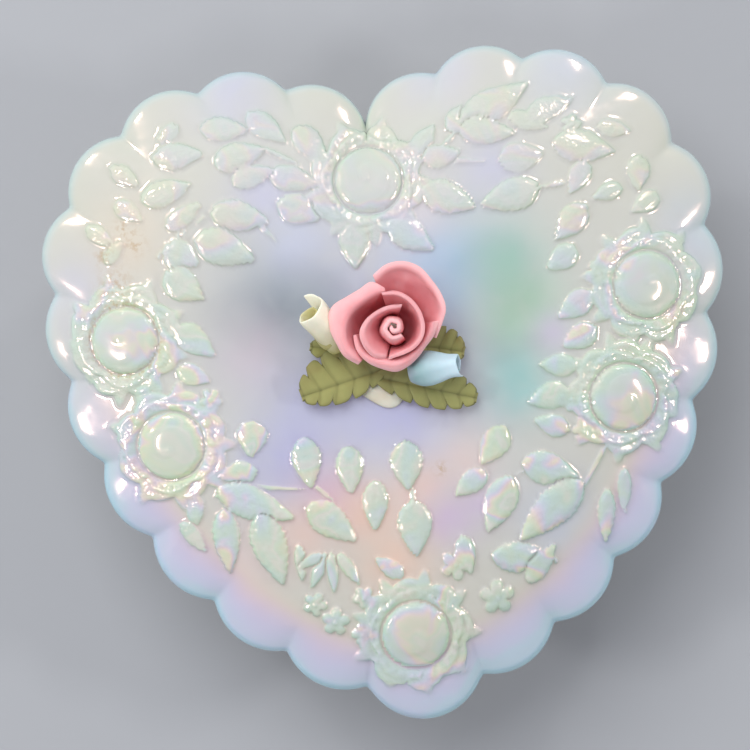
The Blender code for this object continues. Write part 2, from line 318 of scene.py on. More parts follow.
def ring_faces(lower, upper):
    """Faces between two levels of vertex numbers, where the second may have half as many."""
    n, m = len(lower), len(upper)
    faces = []
    if n == m:
        for i in range(n):
            j = (i + 1) % n
            faces.append((lower[i], lower[j], upper[j], upper[i]))
    elif n == 2 * m:
        for i in range(m):
            j = (i + 1) % m
            left, middle, right = lower[2 * i], lower[2 * i + 1], lower[(2 * i + 2) % n]
            faces += [(left, middle, upper[i]), (middle, upper[j], upper[i])]
            faces.append((middle, right, upper[j]))
    else:
        faces = [face[::-1] for face in ring_faces(upper, lower)]
    return faces


def loft_mesh(name, rings, first_pole, last_pole):
    """A closed mesh through rings in mm, capped at two points on the axis."""
    starts = np.cumsum([0] + [len(ring) for ring in rings])
    loops = [list(range(a, b)) for a, b in zip(starts, starts[1:])]
    faces = []
    for lower, upper in zip(loops, loops[1:]):
        faces += ring_faces(lower, upper)
    first, last = int(starts[-1]), int(starts[-1]) + 1
    for i in range(len(loops[0])):
        faces.append((first, loops[0][(i + 1) % len(loops[0])], loops[0][i]))
    for i in range(len(loops[-1])):
        faces.append((last, loops[-1][i], loops[-1][(i + 1) % len(loops[-1])]))
    places = np.concatenate(rings + [[first_pole], [last_pole]]) * MM
    mesh = bpy.data.meshes.new(name)
    mesh.from_pydata(places.tolist(), [], faces)
    mesh.shade_smooth()
    return mesh


plain_edge = level_ring(outline_check, 1.0, 0.0, 0.0, 0.0)
print("without its scallops the heart is", np.ptp(plain_edge, axis=0)[:2].round(1), "mm")

# %% [markdown]
# ## Arithmetic on nodes
#
# The pattern on the lid is a rule: a height for each point of the glass. In Geometry Nodes such a
# rule is a row of Math nodes, which is long to place by hand. Here a small class stands for a number
# that varies over a surface. Adding or multiplying two of them adds the Math node for it, so a rule
# reads like algebra and is still an ordinary node tree. The same class serves the materials.

# %% A field and its arithmetic


class Field:
    """A number that varies over a surface, at a socket of a node tree."""

    def __init__(self, tree, socket):
        self.tree = tree
        self.socket = socket

    def math(self, operation, *others):
        """The result of a Math node whose first input is this field."""
        node = self.tree.nodes.new("ShaderNodeMath")
        node.operation = operation
        for socket, value in zip(node.inputs, (self, *others)):
            feed(self.tree, value, socket)
        return Field(self.tree, node.outputs[0])


OPERATORS = {
    "__add__": "ADD",
    "__radd__": "ADD",
    "__sub__": "SUBTRACT",
    "__mul__": "MULTIPLY",
    "__rmul__": "MULTIPLY",
    "__truediv__": "DIVIDE",
    "__pow__": "POWER",
}
METHODS = {
    "sqrt": "SQRT",
    "sin": "SINE",
    "cos": "COSINE",
    "exp": "EXPONENT",
    "abs": "ABSOLUTE",
    "fract": "FRACT",
    "maximum": "MAXIMUM",
    "minimum": "MINIMUM",
    "atan2": "ARCTAN2",
}


def add_method(name, operation):
    """Give Field an operator or method that makes one kind of Math node."""

    def method(self, *others):
        return self.math(operation, *others)

    setattr(Field, name, method)


for method_name, math_operation in {**OPERATORS, **METHODS}.items():
    add_method(method_name, math_operation)


def feed(tree, value, socket):
    """Link a field, or set a plain value, at an input socket."""
    if isinstance(value, Field):
        tree.links.new(value.socket, socket)
    else:
        socket.default_value = value


def smooth_step(field, low, high):
    """0 below low, 1 above high, and smooth between."""
    node = field.tree.nodes.new("ShaderNodeMapRange")
    node.interpolation_type = "SMOOTHSTEP"
    feed(field.tree, field, node.inputs["Value"])
    feed(field.tree, low, node.inputs["From Min"])
    feed(field.tree, high, node.inputs["From Max"])
    return Field(field.tree, node.outputs["Result"])


def split_vector(tree, socket):
    """The x, y and z fields of a vector socket."""
    node = tree.nodes.new("ShaderNodeSeparateXYZ")
    tree.links.new(socket, node.inputs[0])
    return [Field(tree, output) for output in node.outputs]


def new_group(name, kind, inputs, outputs):
    """A node group with (name, type, default) inputs and (name, type) outputs."""
    tree = bpy.data.node_groups.new(name, kind)
    for label, socket_type, default in inputs:
        made = tree.interface.new_socket(name=label, in_out="INPUT", socket_type=socket_type)
        if default is not None:
            made.default_value = default
    for label, socket_type in outputs:
        tree.interface.new_socket(name=label, in_out="OUTPUT", socket_type=socket_type)
    return tree, tree.nodes.new("NodeGroupInput"), tree.nodes.new("NodeGroupOutput")


def place_group(tree, group, **values):
    """Put a group into a tree and feed its inputs by name, with _ for a space."""
    kind = "ShaderNodeGroup" if tree.bl_idname == "ShaderNodeTree" else "GeometryNodeGroup"
    node = tree.nodes.new(kind)
    node.node_tree = group
    for label, value in values.items():
        feed(tree, value, node.inputs[label.replace("_", " ")])
    return node


print("fields know", len(OPERATORS), "operators and", len(METHODS), "functions")

# %% [markdown]
# ## The stamps
#
# The mould was cut with a handful of motifs: a leaf with a midrib and veins, a full rose, and a small
# five-petalled flower. Sculpting them by hand would fuse them to one mesh for good. Each motif here
# is a node group that adds its own height to the heights laid before it, and keeps the higher of the
# two, the way a mould cutter's next cut only ever deepens the mould.

# %% What every stamp has
STAMP_INPUTS = [("Place", "NodeSocketVector", None), ("Height", "NodeSocketFloat", 0.0)]


def new_stamp(name, inputs):
    """A stamp's node group, which takes a place and the height so far and gives a height."""
    outputs = [("Height", "NodeSocketFloat")]
    return new_group(name, "GeometryNodeTree", STAMP_INPUTS + inputs, outputs)


def stamp_fields(tree, start, *labels):
    """The fields of some of a stamp's inputs."""
    return [Field(tree, start.outputs[label]) for label in labels]


def from_centre(tree, start):
    """How far a place is from a round stamp's centre: along x, along y and in all."""
    px, py, _ = split_vector(tree, start.outputs["Place"])
    cx, cy, _ = split_vector(tree, start.outputs["Centre"])
    dx = px - cx
    dy = py - cy
    return dx, dy, (dx * dx + dy * dy).sqrt()


print("every stamp takes", " and ".join(row[0] for row in STAMP_INPUTS))

# %% [markdown]
# A pressed leaf is low and nearly flat, with a crisp rim, a sunk midrib and a thin moat where the
# cutter's edge went a little deeper than the ground. Each leaf runs from its base to its tip, so one
# stamp serves them all, and a long thin leaf without veins makes the stems.

# %% The leaf stamp
LEAF_INPUTS = [
    ("Base", "NodeSocketVector", None),
    ("Tip", "NodeSocketVector", None),
    ("Width", "NodeSocketFloat", 5.0),
    ("Rise", "NodeSocketFloat", 0.8),
    ("Veins", "NodeSocketFloat", 0.08),
]
MOAT_DEPTH = 0.14


def leaf_stamp():
    """Height of a pressed leaf from Base to Tip, in mm."""
    tree, start, end = new_stamp("leaf_stamp", LEAF_INPUTS)
    before, width, rise, veins = stamp_fields(tree, start, "Height", "Width", "Rise", "Veins")
    px, py, _ = split_vector(tree, start.outputs["Place"])
    bx, by, _ = split_vector(tree, start.outputs["Base"])
    tx, ty, _ = split_vector(tree, start.outputs["Tip"])
    run_x = tx - bx
    run_y = ty - by
    length = (run_x * run_x + run_y * run_y).sqrt()
    dx = px - bx
    dy = py - by
    along = (dx * run_x + dy * run_y) / length
    across = ((dy * run_x - dx * run_y) / length).abs()
    share = (along / length).maximum(0.0001).minimum(0.9999)
    half = (share**0.72 * math.pi).sin() ** 0.85 * width * 0.5
    teeth = (along * 0.75 + across * 0.2).fract() * veins * 1.2
    half = half * (teeth * -1.0 + 1.03) + 0.01
    side = (across / half).minimum(1.0)
    body = (side**2.4 * -1.0 + 1.0).maximum(0.0) ** 0.6 * rise
    groove = (across * across * -12.0).exp() * veins
    vein_wave = ((along - across * 0.9) * 3.2).cos() * smooth_step(side, 0.95, 0.5) * veins * 0.2
    leaf = (body - groove + vein_wave).maximum(before * 0.75)
    blade = smooth_step(half, 0.03, 0.25)
    inside = smooth_step(side, 1.0, 0.97) * blade
    moat = smooth_step(across - half, 0.6, 0.05) * blade
    ground = before * (moat * -0.7 + 1.0) - moat * MOAT_DEPTH
    tree.links.new((ground + (leaf - ground) * inside).socket, end.inputs["Height"])
    return tree


leaf_group = leaf_stamp()
print("leaf stamp:", len(leaf_group.nodes), "nodes")

# %% [markdown]
# A pressed rose is the highest motif: a smooth round heart, two rows of lapping petals close about
# it, a row of beads on them and nine pointed sepals outside. Its rule works in turns and radius, so
# each row is one wave round the centre, and the turn of a rose keeps the six from looking alike.

# %% The rose stamp
ROSE_INPUTS = [
    ("Centre", "NodeSocketVector", None),
    ("Turn", "NodeSocketFloat", 0.0),
    ("Rise", "NodeSocketFloat", 1.45),
]
ROSE_HEART = 6.1
BEAD_ROW = 7.6
SEPAL_REACH = 12.6


def petal_row(turns, radius, count, offset, reach, depth, rise):
    """A ring of so many lapping petals, each with a raised lip, about a rose."""
    petal = (turns * count + radius * 0.05 + offset + 10.0).fract()
    arch = (petal * math.pi).sin()
    edge = arch * depth + reach - ROSE_HEART
    out = ((radius - ROSE_HEART) / edge).minimum(1.2)
    lip = ((out - 0.80) * (out - 0.80) * -60.0).exp() * 0.22
    ruffle = (petal * 12.6 + out * 2.0).sin() * out * 0.05
    return (out * 0.16 + petal * 0.20 + rise + lip + ruffle) * smooth_step(out, 1.08, 0.9)


def rose_stamp():
    """Height of a pressed rose: a round heart, two rows of petals, beads and sepals."""
    tree, start, end = new_stamp("rose_stamp", ROSE_INPUTS)
    before, turn, rise = stamp_fields(tree, start, "Height", "Turn", "Rise")
    dx, dy, radius = from_centre(tree, start)
    turns = (dy.atan2(dx) + turn) / (2 * math.pi)

    dome = ((radius / ROSE_HEART) ** 2.4 * -1.0 + 1.0).maximum(0.0).sqrt()
    lap = (radius / 4.2 + turns).fract()
    crescent = smooth_step(lap, 0.0, 0.7) * smooth_step(lap, 1.0, 0.90) * 0.13
    heart = dome * rise + (crescent + 0.20) * smooth_step(dome, 0.0, 0.5)

    ring = petal_row(turns, radius, 8.0, 0.1, 9.2, 1.5, 0.22)
    ring = ring.maximum(petal_row(turns, radius, 5.0, 0.45, 7.6, 1.3, 0.46))
    from_row = radius - BEAD_ROW
    bead = (turns * 26.0 * 2 * math.pi).cos() * (from_row * from_row * -4.0).exp() * 0.16
    ring = (ring + bead) * smooth_step(radius, ROSE_HEART + 0.1, ROSE_HEART + 1.1)

    leaflet = ((turns * 9.0 + 0.3).fract() - 0.5).abs() * radius * 0.70
    taper = ((radius - SEPAL_REACH) * -0.9).maximum(0.0).sqrt() * 0.95
    sepal = ((leaflet / (taper + 0.01)) ** 2.0 * -1.0 + 1.0).maximum(0.0).sqrt() * taper * 0.34
    ring = ring.maximum(sepal * smooth_step(radius, 7.5, 8.5))
    tree.links.new(heart.maximum(ring).maximum(before).socket, end.inputs["Height"])
    return tree


rose_group = rose_stamp()
print("rose stamp:", len(rose_group.nodes), "nodes")

# %% [markdown]
# The small flowers fill the gaps. Each has five round petals, a dip and a bead in its middle. The
# petals are a cosine of the angle that goes round two and a half times and loses its sign.

# %% The small flower stamp
FLOWER_INPUTS = [
    ("Centre", "NodeSocketVector", None),
    ("Reach", "NodeSocketFloat", 2.6),
    ("Turn", "NodeSocketFloat", 0.0),
]


def flower_stamp():
    """Height of a small flower with five round petals and a bead in its middle."""
    tree, start, end = new_stamp("flower_stamp", FLOWER_INPUTS)
    before, reach, turn = stamp_fields(tree, start, "Height", "Reach", "Turn")
    dx, dy, radius = from_centre(tree, start)
    petal = ((dy.atan2(dx) + turn) * 2.5).cos().abs() ** 0.5
    out = radius / (reach * (petal * 0.6 + 0.4))
    petals = (out**2.0 * -1.0 + 1.0).maximum(0.0).sqrt() * 0.75
    dip = (radius * radius * -1.6).exp() * 0.45
    bead = (radius * radius * -7.0).exp() * 0.75
    tree.links.new((petals - dip + bead).maximum(before).socket, end.inputs["Height"])
    return tree


flower_group = flower_stamp()
print("flower stamp:", len(flower_group.nodes), "nodes")

# %% [markdown]
# ## The pressed pattern
#
# Six roses stand in the border, with leaves, buds and small flowers between them. A leaf is placed by
# its base and tip, its width and how high it stands. All are in mm from the spot where the bouquet
# is glued, which lies PATTERN_SHIFT nearer to the cleft than the middle of the box does.

# %% List the motifs of the lid
PATTERN_SHIFT = 6.15
# x, y, turn in radians
LID_ROSES = [
    (-0.6, 32.4, 0.3),
    (48.3, 8.0, 2.1),
    (-48.3, 8.0, 1.2),
    (41.8, -12.2, 4.0),
    (-41.8, -12.2, 5.1),
    (-0.8, -51.5, 3.0),
]
# x, y, reach
LID_FLOWERS = [
    (39.5, 10.8, 2.8),
    (32.0, -11.5, 2.4),
    (33.6, -17.6, 2.2),
    (14.8, -46.2, 3.4),
    (7.7, -39.4, 3.0),
    (-18.6, -44.0, 2.4),
    (-15.2, -47.6, 2.8),
    (-10.6, -50.4, 2.2),
    (-9.6, -43.6, 2.2),
    (31.6, 40.8, 2.4),
    (37.7, 38.8, 2.0),
    (-33.5, -4.5, 2.2),
]
# base x, base y, tip x, tip y, width, rise
LID_LEAVES = [
    (23.6, 33.4, 32.0, 33.8, 6.4, 0.55),
    (9.0, 29.6, 18.4, 25.3, 6.6, 0.85),
    (2.2, 24.2, 10.0, 18.4, 6.0, 0.80),
    (30.2, 27.8, 19.2, 25.6, 6.6, 0.90),
    (38.3, 23.6, 32.5, 17.9, 5.6, 0.85),
    (34.0, 35.8, 45.0, 33.0, 6.8, 0.80),
    (39.8, 31.6, 35.8, 26.0, 4.4, 0.65),
    (45.6, 26.4, 40.0, 24.8, 3.6, 0.65),
    (49.6, 31.8, 48.4, 25.2, 4.8, 0.70),
    (15.0, 40.0, 20.6, 44.6, 5.0, 0.75),
    (17.5, 41.0, 30.6, 47.2, 6.8, 0.80),
    (17.0, 39.8, 27.2, 38.2, 5.4, 0.75),
    (8.4, 36.4, 12.6, 41.2, 4.2, 0.65),
    (9.8, 35.0, 16.8, 35.8, 4.8, 0.60),
    (36.0, 16.0, 30.2, 12.6, 5.0, 0.70),
    (38.0, 7.4, 31.2, 3.6, 5.2, 0.75),
    (38.0, 1.0, 31.4, -1.8, 5.0, 0.75),
    (33.6, -5.4, 26.8, -4.6, 4.6, 0.70),
    (31.8, -9.8, 24.0, -11.2, 5.2, 0.85),
    (31.0, -17.0, 24.8, -14.4, 4.4, 0.70),
    (22.0, -21.8, 32.0, -26.0, 6.4, 0.90),
    (32.5, -26.6, 19.8, -36.2, 7.2, 1.00),
    (19.4, -24.4, 14.2, -34.0, 6.4, 0.95),
    (19.4, -15.2, 14.4, -21.6, 5.6, 0.80),
    (15.0, -22.8, 9.0, -26.6, 4.6, 0.80),
    (37.0, -28.6, 35.8, -38.6, 3.6, 0.85),
    (14.5, -38.4, 26.8, -40.8, 6.0, 0.90),
    (9.4, -34.2, 10.4, -41.4, 3.8, 0.90),
    (-29.8, 29.6, -19.4, 26.8, 6.2, 0.90),
    (-39.2, 23.8, -33.0, 20.4, 6.2, 0.70),
    (-33.2, 25.2, -22.8, 20.0, 7.0, 0.95),
    (-18.6, 35.4, -9.6, 32.4, 5.4, 0.75),
    (-17.6, 29.8, -9.2, 26.4, 6.0, 0.80),
    (-4.0, 25.0, -4.6, 16.4, 6.2, 0.80),
    (-39.5, 19.2, -33.0, 14.0, 6.4, 0.85),
    (-38.4, 9.4, -32.0, 3.4, 5.6, 0.75),
    (-39.0, 1.6, -33.2, -1.2, 4.4, 0.60),
    (-42.5, 33.2, -33.0, 35.2, 5.4, 0.75),
    (-47.6, 40.0, -42.6, 36.0, 3.8, 0.65),
    (-39.6, 40.8, -30.2, 40.6, 5.4, 0.75),
    (-30.4, 45.4, -21.4, 44.0, 5.0, 0.75),
    (-28.4, 38.4, -18.8, 40.2, 6.0, 0.80),
    (-21.6, 47.2, -15.0, 41.2, 5.0, 0.80),
    (-13.2, 43.6, -7.8, 37.0, 5.4, 0.70),
    (-53.2, 29.6, -48.4, 25.4, 3.6, 0.60),
    (-47.6, 33.4, -42.6, 29.4, 4.0, 0.50),
    (-26.2, -9.2, -27.4, -15.8, 6.2, 0.75),
    (-26.6, -18.4, -33.8, -18.6, 4.8, 0.70),
    (-34.2, -21.2, -20.6, -27.8, 6.6, 0.95),
    (-17.8, -25.4, -9.9, -33.0, 6.4, 0.95),
    (-17.4, -13.2, -17.0, -22.6, 5.8, 0.90),
    (-9.4, -15.6, -9.8, -24.4, 5.4, 0.90),
    (-5.2, -22.4, -6.2, -31.6, 5.0, 0.85),
    (-33.4, -24.8, -33.6, -36.8, 5.4, 0.90),
    (-27.0, -26.2, -24.0, -39.8, 7.0, 0.95),
    (-20.4, -32.6, -20.4, -39.6, 2.2, 0.80),
    (-38.0, -21.4, -39.6, -28.4, 3.6, 0.60),
    (-15.6, -34.6, -19.0, -41.0, 2.6, 0.65),
    (-14.6, -34.6, -14.8, -42.4, 2.4, 0.65),
    (-13.4, -35.0, -10.0, -41.2, 2.6, 0.65),
    (-16.4, -34.8, -21.0, -37.0, 2.2, 0.55),
    (1.0, -15.8, 0.6, -24.8, 6.4, 0.90),
    (1.4, -26.8, 0.8, -37.0, 6.8, 0.95),
    (30.0, 41.5, 38.6, 43.4, 4.6, 0.60),
    (42.6, 38.0, 48.4, 36.4, 3.8, 0.55),
    (52.4, 24.4, 47.0, 21.6, 4.2, 0.60),
    (-34.4, 46.4, -38.8, 43.6, 3.4, 0.50),
    (-50.4, 22.4, -46.6, 26.4, 3.2, 0.50),
    (-25.6, 34.6, -17.4, 36.2, 4.6, 0.60),
    (-38.4, 27.4, -31.4, 31.6, 4.0, 0.55),
    (-10.6, 31.4, -6.4, 24.0, 4.0, 0.60),
    (26.4, 41.6, 33.2, 38.6, 4.0, 0.55),
    (-41.6, -26.4, -37.6, -32.4, 3.4, 0.60),
    (-2.0, -40.4, -6.8, -36.4, 3.6, 0.70),
    (20.6, -44.2, 26.4, -37.6, 4.2, 0.70),
    (40.6, -25.2, 39.8, -33.6, 3.0, 0.65),
]
# base x, base y, tip x, tip y
LID_STEMS = [
    (-41.0, 22.0, -31.4, 29.8),
    (-35.5, 27.3, -30.0, 29.2),
    (-24.0, 29.6, -17.6, 22.0),
    (35.5, 28.0, 29.4, 27.8),
    (27.0, -20.0, 20.4, -24.6),
    (13.0, 36.5, 17.4, 40.6),
    (-12.4, 36.2, -21.0, 41.6),
    (8.0, 35.0, 24.0, 33.4),
    (-35.0, -20.0, -16.0, -23.0),
    (-16.4, -22.0, -12.6, -26.0),
    (16.2, -21.8, 19.6, -14.2),
    (1.4, -24.0, 1.0, -28.0),
    (-35.0, -22.0, -27.0, -28.0),
    (38.4, -19.5, 31.4, -29.5),
]
print(len(LID_ROSES), "roses,", len(LID_LEAVES), "leaves,", len(LID_FLOWERS), "flowers")

# %% [markdown]
# One node tree chains a stamp for each motif, then lifts the glass along its own normal. It keeps
# the height as well, because the lustre shifts in colour where the glass is raised, partly as
# painted sheen, and the moats round the motifs take a painted shade. A picture used for
# displacement would do the same, but a rule stays sharp at any size.

# %% Build the pressing tree
STEM = dict(Width=1.1, Rise=0.40, Veins=0.0)
VEIN_SHARE = 0.09


def add_stamp(tree, group, place, height, **values):
    """Chain one stamp onto the heights laid so far."""
    for label, value in values.items():
        values[label] = (*value, 0.0) if isinstance(value, tuple) else value
    node = place_group(tree, group, Place=place, Height=height, **values)
    return Field(tree, node.outputs["Height"])


def read_layer(tree, kind, name):
    """A field of the values that a mesh keeps under a name."""
    node = tree.nodes.new("GeometryNodeInputNamedAttribute")
    node.data_type = kind
    node.inputs["Name"].default_value = name
    return Field(tree, node.outputs["Attribute"])


def lay_motifs(tree, place, roses, leaves, stems, flowers):
    """The height of all the motifs together, stems first and roses last."""
    height = 0.0
    for bx, by, tx, ty in stems:
        height = add_stamp(tree, leaf_group, place, height, Base=(bx, by), Tip=(tx, ty), **STEM)
    for bx, by, tx, ty, width, rise in leaves:
        shape = dict(Base=(bx, by), Tip=(tx, ty), Width=width, Rise=rise)
        height = add_stamp(tree, leaf_group, place, height, **shape, Veins=rise * VEIN_SHARE)
    for x, y, reach in flowers:
        shape = dict(Centre=(x, y), Reach=reach, Turn=x)
        height = add_stamp(tree, flower_group, place, height, **shape)
    for x, y, turn in roses:
        height = add_stamp(tree, rose_group, place, height, Centre=(x, y), Turn=turn)
    return height


def pressing_tree(name, *motifs):
    """A tree that lifts glass by its motifs, read at the mesh's own mould coordinates."""
    inputs = [
        ("Geometry", "NodeSocketGeometry", None),
        ("Depth", "NodeSocketFloat", 1.0),
        ("Glass", "NodeSocketMaterial", None),
    ]
    tree, start, end = new_group(
        name, "GeometryNodeTree", inputs, [("Geometry", "NodeSocketGeometry")]
    )
    height = lay_motifs(tree, read_layer(tree, "FLOAT_VECTOR", "mould"), *motifs)
    zone = read_layer(tree, "FLOAT", "zone")
    lifted = height * zone * Field(tree, start.outputs["Depth"])
    scale = tree.nodes.new("ShaderNodeVectorMath")
    scale.operation = "SCALE"
    normal = tree.nodes.new("GeometryNodeInputNormal")
    tree.links.new(normal.outputs["Normal"], scale.inputs[0])
    feed(tree, lifted * MM, scale.inputs["Scale"])
    store = tree.nodes.new("GeometryNodeStoreNamedAttribute")
    store.inputs["Name"].default_value = "relief"
    tree.links.new(start.outputs["Geometry"], store.inputs["Geometry"])
    feed(tree, lifted, store.inputs["Value"])
    move = tree.nodes.new("GeometryNodeSetPosition")
    tree.links.new(store.outputs["Geometry"], move.inputs["Geometry"])
    tree.links.new(scale.outputs[0], move.inputs["Offset"])
    realize = tree.nodes.new("GeometryNodeRealizeInstances")
    tree.links.new(move.outputs["Geometry"], realize.inputs["Geometry"])
    paint = tree.nodes.new("GeometryNodeSetMaterial")
    tree.links.new(realize.outputs["Geometry"], paint.inputs["Geometry"])
    tree.links.new(start.outputs["Glass"], paint.inputs["Material"])
    tree.links.new(paint.outputs["Geometry"], end.inputs["Geometry"])
    return tree


def press(name, mesh, tree, depth, glass):
    """Press the pattern into a mesh and return the plain object."""
    blank = link_object(name + "_blank", mesh)
    modifier = blank.modifiers.new("press", "NODES")
    modifier.node_group = tree
    values = {"Depth": depth, "Glass": glass}
    for item in tree.interface.items_tree:
        if item.name in values and item.in_out == "INPUT":
            modifier[item.identifier] = values[item.name]
    depsgraph = bpy.context.evaluated_depsgraph_get()
    pressed = bpy.data.meshes.new_from_object(blank.evaluated_get(depsgraph))
    blank.modifiers.clear()
    bpy.data.objects.remove(blank)
    pressed.name = name
    pressed.shade_smooth()
    return link_object(name, pressed)


def count_triangles(made):
    """How many triangles an object's mesh comes to."""
    return sum(len(face.vertices) - 2 for face in made.data.polygons)


lid_tree = pressing_tree("press_lid", LID_ROSES, LID_LEAVES, LID_STEMS, LID_FLOWERS)
print("pressing tree:", len(lid_tree.nodes), "nodes")


# %% [markdown]
# ## The lustre
#
# Opal glass is cloudy white and lets light sink in a little way, so the shader has a subsurface part
# under a clear coat. The lustre on it is a metal oxide film as thin as a wavelength of light, and it
# shows bands of pink, lavender, blue and mint. The film's own sheen is a constant of the shader.
# The bands are painted by a node group into the colour: partly the lustre's own colour, partly
# painted sheen of the film and painted reflections of the room in it.

# %% Colour helpers


def tint(red, green, blue):
    """A colour for a socket from the 0 to 255 values that a colour picker shows."""
    channels = [value / 255 for value in (red, green, blue)]
    linear = [c / 12.92 if c <= 0.04045 else ((c + 0.055) / 1.055) ** 2.4 for c in channels]
    return (*linear, 1.0)


def mix_colours(tree, factor, first, second):
    """The output socket of a colour mix; each colour is a socket or a plain value."""
    node = tree.nodes.new("ShaderNodeMix")
    node.data_type = "RGBA"
    feed(tree, factor, node.inputs["Factor"])
    for index, colour in ((6, first), (7, second)):
        if isinstance(colour, tuple):
            node.inputs[index].default_value = colour
        else:
            tree.links.new(colour, node.inputs[index])
    return node.outputs[2]


def colour_ramp(tree, factor, stops):
    """The output socket of a colour ramp with (position, colour) stops."""
    node = tree.nodes.new("ShaderNodeValToRGB")
    node.color_ramp.interpolation = "B_SPLINE"
    elements = node.color_ramp.elements
    while len(elements) < len(stops):
        elements.new(0.5)
    for element, (position, colour) in zip(elements, stops):
        element.position = position
        element.color = colour
    feed(tree, factor, node.inputs["Fac"])
    return node.outputs["Color"]


def noise(tree, place, scale, detail=2.0, roughness=0.5, distortion=0.0):
    """A noise field at a place socket; scale is in waves for each metre."""
    node = tree.nodes.new("ShaderNodeTexNoise")
    tree.links.new(place, node.inputs["Vector"])
    set_inputs(node, {"Scale": scale, "Detail": detail})
    set_inputs(node, {"Roughness": roughness, "Distortion": distortion})
    return Field(tree, node.outputs["Fac"])


def object_place(tree):
    """The Object coordinates socket."""
    return tree.nodes.new("ShaderNodeTexCoord").outputs["Object"]


def read_attribute(tree, name):
    """A field of a mesh attribute in a shader tree."""
    node = tree.nodes.new("ShaderNodeAttribute")
    node.attribute_name = name
    return Field(tree, node.outputs["Fac"])


def add_bump(tree, shader, height, strength, distance):
    """Let a height field tilt the shader's normal."""
    bump = tree.nodes.new("ShaderNodeBump")
    set_inputs(bump, {"Strength": strength, "Distance": distance})
    feed(tree, height, bump.inputs["Height"])
    tree.links.new(bump.outputs["Normal"], shader.inputs["Normal"])


print("a mid grey on a colour picker is", round(tint(128, 128, 128)[0], 3), "to a shader")

# %% [markdown]
# The lustre lies in soft clouds over a cream ground. On the plain crown the clouds are painted
# reflections of the room in the film, a dark grey-blue one among them; in the border they are the
# lustre's own colour. It could be painted on a picture, but a list of patches, each with a place, a
# reach and a strength, stays small and sharp. The rim and the raised motifs take their colour from
# ramps instead, because there the bands follow the shape of the glass, partly as painted sheen.

# %% List the colours of the lustre
CREAM = tint(208, 211, 200)
# the motifs' lustre with painted sheen, in bands that shift with the height of the glass
MOTIF_LUSTRE_AND_SHEEN_BANDS = [
    (0.00, tint(218, 220, 208)),
    (0.18, tint(190, 220, 196)),
    (0.42, tint(194, 216, 220)),
    (0.54, tint(208, 206, 224)),
    (0.62, tint(228, 208, 208)),
    (0.70, tint(226, 224, 192)),
    (0.88, tint(190, 222, 194)),
    (1.00, tint(218, 220, 208)),
]
# the rim's lustre with painted sheen, bluest at the outer edge where the glass turns down
RIM_LUSTRE_AND_SHEEN_BANDS = [
    (0.00, tint(226, 224, 212)),
    (0.30, tint(236, 212, 198)),
    (0.52, tint(222, 198, 216)),
    (0.76, tint(198, 196, 230)),
    (0.94, tint(190, 202, 232)),
    (1.00, tint(176, 210, 230)),
]
# on the plain crown these patches are painted reflections of the room in the film
# x, y, reach in mm, colour, strength
LUSTRE_AND_REFLECTION_PATCHES = [
    (-3.0, 5.0, 24.0, tint(194, 202, 228), 0.80),
    # a painted dark reflection of the room, grey-blue on the left of the crown
    (-18.0, 9.0, 12.0, tint(138, 158, 162), 1.0),
    (-24.0, 3.0, 8.0, tint(222, 206, 212), 0.55),
    (12.0, 15.0, 10.0, tint(166, 198, 224), 0.85),
    # these three are a painted reflection of the room: the mint band down the right of the crown
    (23.0, 15.0, 7.5, tint(164, 206, 190), 0.85),
    (24.0, 5.0, 7.5, tint(154, 204, 166), 0.85),
    (22.5, -7.0, 7.0, tint(150, 204, 198), 0.95),
    (29.5, 1.0, 4.0, tint(212, 198, 226), 0.65),
    (1.0, -10.0, 11.0, tint(192, 196, 230), 0.80),
    (-14.0, -8.0, 9.0, tint(194, 198, 228), 0.75),
    (-22.0, -18.0, 8.0, tint(176, 180, 222), 0.90),
    (-14.0, -24.0, 6.0, tint(214, 180, 200), 0.85),
    (-8.0, -28.0, 6.0, tint(236, 200, 178), 0.80),
    (-20.0, -30.0, 6.0, tint(232, 202, 184), 0.75),
    (3.0, -25.0, 6.0, tint(236, 204, 186), 0.75),
    (7.0, -31.0, 5.0, tint(204, 186, 220), 0.80),
    (13.0, -29.0, 5.0, tint(206, 190, 216), 0.70),
    (12.0, -20.0, 5.0, tint(230, 208, 198), 0.65),
    (-3.0, -38.0, 8.0, tint(236, 204, 182), 0.75),
    (-30.0, -34.0, 8.0, tint(226, 204, 206), 0.65),
    (28.0, -33.0, 8.0, tint(192, 204, 226), 0.65),
    (-20.0, 32.0, 6.0, tint(196, 200, 230), 0.55),
    (-15.0, 22.0, 6.0, tint(200, 210, 232), 0.65),
    (22.0, 33.0, 6.0, tint(198, 202, 230), 0.60),
    (-46.0, 26.0, 8.0, tint(230, 214, 190), 0.50),
    (8.0, 26.0, 6.0, tint(230, 218, 216), 0.45),
    (-24.0, 52.0, 9.0, tint(196, 202, 226), 0.65),
    (14.0, 53.0, 8.0, tint(200, 204, 230), 0.65),
    (38.0, 50.0, 9.0, tint(196, 208, 230), 0.60),
    (-58.0, 18.0, 8.0, tint(200, 204, 224), 0.55),
    (60.0, 16.0, 9.0, tint(190, 208, 226), 0.65),
]
# x, y, reach in mm of the old tan stains
STAINS = [
    (-46.2, 28.4, 1.8),
    (-44.4, 25.2, 1.8),
    (-50.6, 24.0, 1.6),
    (6.9, -21.5, 1.2),
    (-49.0, 18.0, 3.0),
]
# x, y and radius of the tan ring about one rose
STAIN_RING = (-48.3, 8.0, 6.6)
STAIN_TAN = tint(188, 160, 116)
# painted shade for the moats round the motifs
MOAT_PAINTED_SHADE = tint(150, 148, 150)
print(len(LUSTRE_AND_REFLECTION_PATCHES), "patches of lustre and", len(STAINS), "stains")

